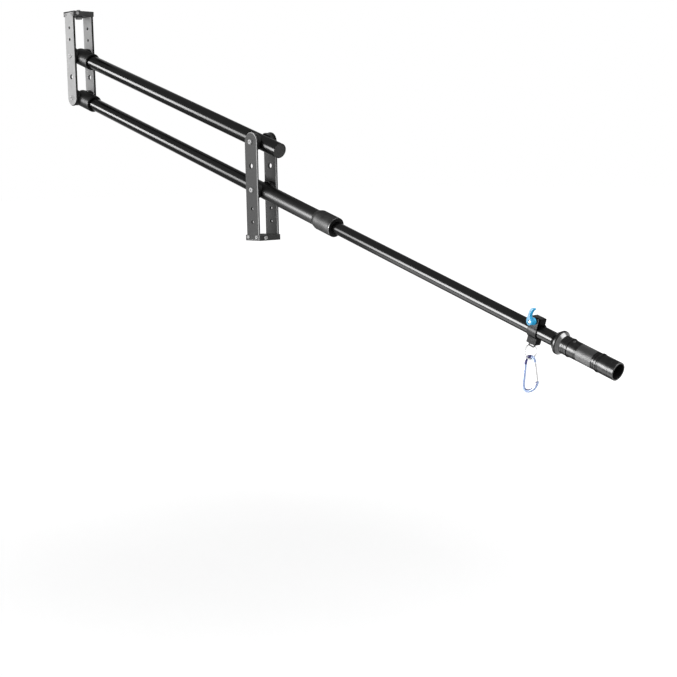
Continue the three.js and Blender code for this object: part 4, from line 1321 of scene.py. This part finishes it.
# %% [markdown]
# The lever's points are shares of its reach. A generous bevel gives the rounded sides on which the
# blue shines, and the hub is joined to it. The draw screw runs through the hub, the ear and the slit.
# %% Lever and its screw
LEVER = CLAMP @ shift(0, -CLAMP_BAND - FIT, SCREW_HEIGHT)
LEVER_REACH = 26
LEVER_SHARES = [
    (-0.20, -0.12), (-0.27, 0.10), (-0.23, 0.36), (-0.22, 0.58), (-0.18, 0.80), (-0.07, 0.95),
    (0.09, 1.00), (0.15, 0.94), (0.08, 0.85), (0.01, 0.70), (-0.02, 0.52), (0.01, 0.34),
    (0.10, 0.22), (0.21, 0.10), (0.10, -0.16),
]
LEVER_WIDTH = 6.8
HUB_LENGTH = 13
HUB_RADIUS = 5.8
HUB_SEAT = 6.6
DRAW_RADIUS = 2.4
DRAW_PITCH = 0.8
DRAW_THREAD = 6
outline = smooth_path([Vector((x, 0, z)) * LEVER_REACH for x, z in LEVER_SHARES], 3)
lever = prism("thumb_lever", [point - Vector((0, HUB_LENGTH, 0)) for point in outline], (0, LEVER_WIDTH, 0))
soften(lever, 1.1, segments=4, angle=50)
hub = turned("hub", [
    [0, 0], [0, HUB_SEAT, 0.3], [-2, HUB_SEAT, 0.4], [-4, HUB_RADIUS],
    [-HUB_LENGTH, HUB_RADIUS, 0.9], [-HUB_LENGTH, 0],
], steps=64)
join(lever, settle(hub, ACROSS))
lever_hole = turned("lever_hole", [
    [-HUB_LENGTH - PROUD, 0], [-HUB_LENGTH - PROUD, DRAW_HOLE + 1.5], [-HUB_LENGTH + 0.5, DRAW_HOLE],
    [OVERRUN, DRAW_HOLE], [OVERRUN, 0],
], steps=40)
cut(lever, settle(lever_hole, ACROSS))
fit(lever, LEVER, "clamp_lever", blue_anodised, "clamp_lever")
screw_start = -HUB_LENGTH + 1.4
screw_end = TOP_FAR + CLAMP_BAND + FIT + 1.5
stem_end = screw_end - DRAW_THREAD
clamp_screw = turned("clamp_draw_screw", [
    [screw_start, 0], [screw_start, DRAW_RADIUS, 0.4], [2, DRAW_RADIUS],
    [2, DRAW_RADIUS - 0.2], [stem_end, DRAW_RADIUS - 0.2], [stem_end, 0],
], steps=40)
cut(clamp_screw, hexagon("screw_socket", -HUB_LENGTH, -HUB_LENGTH + 3.4, 2.5))
join(clamp_screw, thread("draw_thread", stem_end - 1, screw_end, DRAW_RADIUS, DRAW_PITCH))
fit(clamp_screw, LEVER @ ACROSS, "clamp_lever", dark_steel, "clamp_screw")
print("lever has", len(lever.data.polygons), "faces")

# %% [markdown]
# ## Eye and split ring
# Bent wire is a curve with a round bevel, turned into a mesh. The eye is a narrow U of black wire
# whose legs sit in the clamp's two holes, with a quarter circle at each lower corner.
# %% Wire eye
EYE_BOTTOM = -BLOCK_DROP - 6.4
EYE_WIRE = 1.25
EYE_CORNER = 2.5
EYE_LEG = BLOCK_DROP - 7
CORNER_STEPS = 8


def rod(name, path, radius, flat=1):
    """A rod along a path. `flat` squeezes its section across the path's plane."""
    clear_selection()
    bpy.ops.curve.primitive_bezier_circle_add(radius=radius)
    section = bpy.context.object
    section.scale = (1, flat, 1)
    section.data.resolution_u = 6
    clear_selection()
    bpy.ops.curve.primitive_nurbs_path_add()
    piece = named(name)
    curve = piece.data
    curve.splines.clear()
    line = curve.splines.new("POLY")
    line.points.add(len(path) - 1)
    for point, place in zip(line.points, path):
        point.co = (*place, 1)
    curve.twist_mode = "Z_UP"
    curve.bevel_mode = "OBJECT"
    curve.bevel_object = section
    curve.use_fill_caps = True
    select_only(piece)
    bpy.ops.object.convert(target="MESH")
    piece = named(name)
    bpy.data.objects.remove(section)
    edit(piece)
    outward()
    leave()
    return piece


bend = -EYE_BOTTOM - EYE_CORNER
eye_path = [Vector((-EYE_HALF, EYE_LEG, 0)), Vector((-EYE_HALF, bend, 0))]
for side in (-1, 1):
    start = pi if side < 0 else pi / 2
    for k in range(CORNER_STEPS + 1):
        angle = start - k * pi / 2 / CORNER_STEPS
        across = side * (EYE_HALF - EYE_CORNER) + EYE_CORNER * cos(angle)
        eye_path.append(Vector((across, bend + EYE_CORNER * sin(angle), 0)))
eye_path += [Vector((EYE_HALF, EYE_LEG, 0))]
eye = rod("clamp_wire_eye", eye_path, EYE_WIRE)
fit(eye, CLAMP @ shift(EYE_SHIFT) @ turn(-pi / 2, "X"), "clamp", black_wire, "clamp_eye")
print("eye path has", len(eye_path), "points")

# %% [markdown]
# The split ring is two flat turns of wire side by side: the path runs twice round, and steps from
# one side to the other once, which is where a real ring lets things on. It hangs plumb from the eye,
# so the arm's tilt is taken out of its place again.
# %% Split ring
RING_PATH_RADIUS = 13.3
RING_WIRE = 1.1
RING_BREADTH = 1.4
RING_STEPS = 180
RING_ASIDE = 3
STEP_SHARE = 0.04
HOOK_GAP = 0.15
ring_path = []
for k in range(RING_STEPS + 1):
    turns = STEP_SHARE + (2 - 2 * STEP_SHARE) * k / RING_STEPS
    rise = min(max((turns - 1 + STEP_SHARE) / (2 * STEP_SHARE), 0), 1)
    smooth_rise = rise * rise * (3 - 2 * rise) - 0.5
    angle = turns * tau
    ring_path.append(Vector((
        RING_PATH_RADIUS * cos(angle), RING_PATH_RADIUS * sin(angle), RING_BREADTH * smooth_rise,
    )))
ring = rod("double_split_ring", ring_path, RING_WIRE, flat=0.62)
ring_top = EYE_BOTTOM + EYE_WIRE + RING_BREADTH + HOOK_GAP
HANGING = CLAMP @ shift(EYE_SHIFT - RING_ASIDE, 0, ring_top) @ turn(-ARM_TILT, "Y")
ring_place = (
    HANGING @ turn(radians(-9), "Z") @ shift(z=-RING_PATH_RADIUS)
    @ turn(pi / 2, "Y") @ turn(radians(200), "Z")
)
fit(ring, ring_place, "split_ring", pale_steel, "split_ring")
print("ring path has", len(ring_path), "points")

# %% [markdown]
# ## Carabiner
# The hook is a light aluminium carabiner: one bent rod, a sprung gate on a pin, and a small tongue
# in the gate's slot. The rod follows a smooth curve through shares of its width and height, and its
# two ends lie in line with the gate, so that the gate closes flush. Most of it is pale violet. Round
# the hinge, behind the nose and inside the lower bend it is painted navy, a painted dark reflection.
# %% Carabiner rod
CARABINER_ROD = 3
CARABINER_SHARES = [
    (0.31, -0.145), (0.16, -0.02), (-0.02, 0.00), (-0.22, -0.035), (-0.33, -0.13),
    (-0.38, -0.35), (-0.42, -0.62), (-0.44, -0.86), (-0.36, -0.955), (-0.20, -0.995), (0.02, -0.99),
    (0.24, -0.945), (0.43, -0.86), (0.545, -0.70),
]
CARABINER_WIDTH = 25
CARABINER_HEIGHT = 61.6
PIN_PLACE = 3.3
PIN_HOLE = 1
TONGUE_HALF = 0.85
TONGUE_ROUND = 2.3
CARABINER = (
    HANGING @ shift(z=-2 * RING_PATH_RADIUS + RING_BREADTH + CARABINER_ROD + HOOK_GAP)
    @ turn(radians(-68), "Z") @ turn(radians(-2.5), "X")
)
loop_points = [Vector((0, u * CARABINER_WIDTH, v * CARABINER_HEIGHT)) for u, v in CARABINER_SHARES]
hinge, nose = loop_points[0], loop_points[-1]
gate_run = (nose - hinge).normalized()
gate_length = (nose - hinge).length
GATE = shift(*hinge) @ turn(atan2(gate_run.y, -gate_run.z), "X")
loop = [
    hinge, hinge - gate_run * CARABINER_ROD / 2, *loop_points[1:-1],
    nose + gate_run * CARABINER_ROD / 2, nose,
]
FLAT = turn(pi / 2, "Y") @ turn(pi / 2, "Z")
flat_loop = [FLAT.inverted() @ point for point in smooth_path(loop, 8)]
carabiner = settle(rod("carabiner_rod", flat_loop, CARABINER_ROD), FLAT)


def gate_bar(name, half, radius, steps=32):
    return settle(bar(name, -half, half, radius, steps), shift(z=-PIN_PLACE))


tongue = join(
    box("tongue", (-TONGUE_HALF, -TONGUE_ROUND, -PIN_PLACE), (TONGUE_HALF, TONGUE_ROUND, CARABINER_ROD)),
    gate_bar("tongue_round", TONGUE_HALF, TONGUE_ROUND),
)
cut(tongue, gate_bar("pin_hole", OVERRUN, PIN_HOLE))
join(carabiner, settle(tongue, GATE))
soften(carabiner, 0.25, segments=2, angle=60)


# The navy faces are a painted dark reflection in the violet metal.
def in_painted_reflection(middle, normal):
    by_hinge = middle.z > -14 and middle.y < 2
    behind_nose = (middle - nose).length < 9 and normal.y < 0.2
    inside_bend = middle.z < -50 and normal.z > 0.5
    return int(by_hinge or behind_nose or inside_bend)


paint(carabiner, (violet_anodised, navy_painted_reflection), in_painted_reflection)
fit(carabiner, CARABINER, "carabiner", violet_anodised, "carabiner_body")
print("the gate closes", round(gate_length, 1), "mm")

# %% [markdown]
# The gate is a turned bar, slotted at the hinge for the rod's tongue. The pin runs through both and
# stays with the rod.
# %% Gate and pin
GATE_ROD = 2.6
PIN_RADIUS = 0.8
slot_half = TONGUE_HALF + FIT
gate = settle(turned("sprung_gate", [
    [0.5 - gate_length, 0], [0.5 - gate_length, GATE_ROD, 0.6], [-0.5, GATE_ROD, 0.9], [-0.5, 0],
], steps=SCREW_STEPS), UPEND)
side_reach = GATE_ROD + OVERRUN
cut(
    gate,
    box("slot", (-slot_half, -side_reach, -PIN_PLACE - TONGUE_ROUND), (slot_half, side_reach, OVERRUN)),
    gate_bar("pin_hole", OVERRUN, PIN_HOLE),
)
fit(gate, CARABINER @ GATE, "carabiner_gate", pale_steel, "carabiner_gate")
pin = turned("gate_pin", [
    [-GATE_ROD, 0], [-GATE_ROD, PIN_RADIUS, 0.2], [GATE_ROD, PIN_RADIUS, 0.2], [GATE_ROD, 0],
], steps=24)
fit(pin, CARABINER @ GATE @ shift(z=-PIN_PLACE), "carabiner", bright_steel, "carabiner_pin")
print("all pieces:", len(made))

# %% [markdown]
# ## Studio
# A plain pale floor lies as far down as the handle reaches when the arms swing. The world behind is
# white to the camera and in reflections, but softer as a lamp, so that colours render as they are
# written. The floor adds a little light of its own where the camera sees it, more of it further out,
# which lifts it to white and keeps a soft shadow.
# %% Floor and world
FLOOR_HEIGHT = -0.72
clear_selection()
bpy.ops.mesh.primitive_plane_add(size=60, location=(0, 0, FLOOR_HEIGHT))
floor = bpy.context.object
floor.name = "floor"
floor.visible_glossy = floor.visible_shadow = False
floor_paint = Finish("floor paint", "", Roughness=1.0, Specular_IOR_Level=0.0)
floor_paint.drive(Base_Color=tone(236))


def seen_or_mirrored(finish):
    """1 where the ray comes from the camera, a reflection or a clear body, else 0."""
    camera_ray, glossy_ray, clear_ray = (
        finish.node("ShaderNodeLightPath", output=name)
        for name in ("Is Camera Ray", "Is Glossy Ray", "Is Transmission Ray")
    )
    return camera_ray.or_larger(glossy_ray).or_larger(clear_ray)


on_floor = floor_paint.node("ShaderNodeTexCoord", output="Object")
distance = floor_paint.node("ShaderNodeVectorMath", {"operation": "LENGTH"}, {0: on_floor}, output="Value")
floor_glow = floor_paint.node("ShaderNodeMapRange", {"interpolation_type": "SMOOTHSTEP"}, {
    "Value": distance, "From Min": 0.0, "From Max": 2.8, "To Min": 0.13, "To Max": 0.62,
})
floor_paint.shader.inputs["Emission Color"].default_value = (1, 1, 1, 1)
floor_paint.drive(Emission_Strength=seen_or_mirrored(floor_paint) * floor_glow)
floor.data.materials.append(floor_paint.material)

WORLD_FILL = 0.55
world = bpy.data.worlds.new("studio")
bpy.context.scene.world = world


class Surroundings(Finish):
    """The world's nodes, wired in the same way."""

    def __init__(self, world):
        world.use_nodes = True
        self.tree = world.node_tree
        self.shader = self.tree.nodes["Background"]
        self.shader.inputs["Color"].default_value = (1, 1, 1, 1)


surroundings = Surroundings(world)
surroundings.drive(Strength=seen_or_mirrored(surroundings) * (1 - WORLD_FILL) + WORLD_FILL)
print("floor at", FLOOR_HEIGHT, "m")

# %% [markdown]
# The long bright line on the tubes is the mirror image of a row of strip softboxes. The row stands
# to the left of the camera, lies parallel to the arms and shows only in reflections, as do a rim
# softbox behind and a bounce card below. The middle strips are dimmer, as the line fades near the
# base. The card and a corner of the row lie below the floor, so the floor is left out of reflections
# and shadow rays. Two large softboxes, which reflections leave out, give the soft light.
# %% Softboxes
def softbox(name, place, target, size, power, along=(1, 0, 0)):
    """An area lamp at a place, facing a target, with its length along a direction."""
    clear_selection()
    bpy.ops.object.light_add(type="AREA", location=place)
    lamp = bpy.context.object
    lamp.name = name
    lamp.data.shape = "RECTANGLE"
    lamp.data.size, lamp.data.size_y = size
    lamp.data.energy = power
    facing = (Vector(place) - Vector(target)).normalized()
    side = (Vector(along) - facing * facing.dot(Vector(along))).normalized()
    lamp.matrix_world = standing(place, side, facing.cross(side), facing)
    return lamp


STRIP_LENGTH = 0.3
STRIP_HEIGHT = 1.1
STRIP_START = -3.65
STRIP_TARGET = Vector((0, 0, 0.156))
STRIP_AIM = Vector((0.09, 2.0, 0.28))
STRIP_GLOWS = [70, 72, 62, 34, 21, 19, 24, 40, 50, 52, 54, 56, 60, 62]
arm_line = Vector((cos(ARM_TILT), 0, -sin(ARM_TILT)))
for k, glow in enumerate(STRIP_GLOWS):
    place = STRIP_TARGET - STRIP_AIM + arm_line * (STRIP_LENGTH * k + STRIP_START)
    power = glow * STRIP_LENGTH * STRIP_HEIGHT * pi
    size = (STRIP_LENGTH, STRIP_HEIGHT)
    strip = softbox(f"strip {k + 1}", place, place + STRIP_AIM, size, power, along=arm_line)
    strip.visible_diffuse = False
rim = softbox("rim softbox", (2.3, 0.5, 1.8), (0.9, 0, -0.1), (1.6, 2.6), 80)
bounce = softbox("bounce card", (-0.3, -0.6, -0.95), (0.7, 0, -0.1), (1.3, 1.0), 34, along=arm_line)
rim.visible_diffuse = bounce.visible_diffuse = False
top = softbox("top softbox", (0, 0.2, 3.0), (0, 0, 0.1), (4.0, 3.5), 66)
front = softbox("front softbox", (2.6, -1.6, 1.4), (0, 0, 0.1), (1.6, 1.6), 26)
top.visible_glossy = front.visible_glossy = False
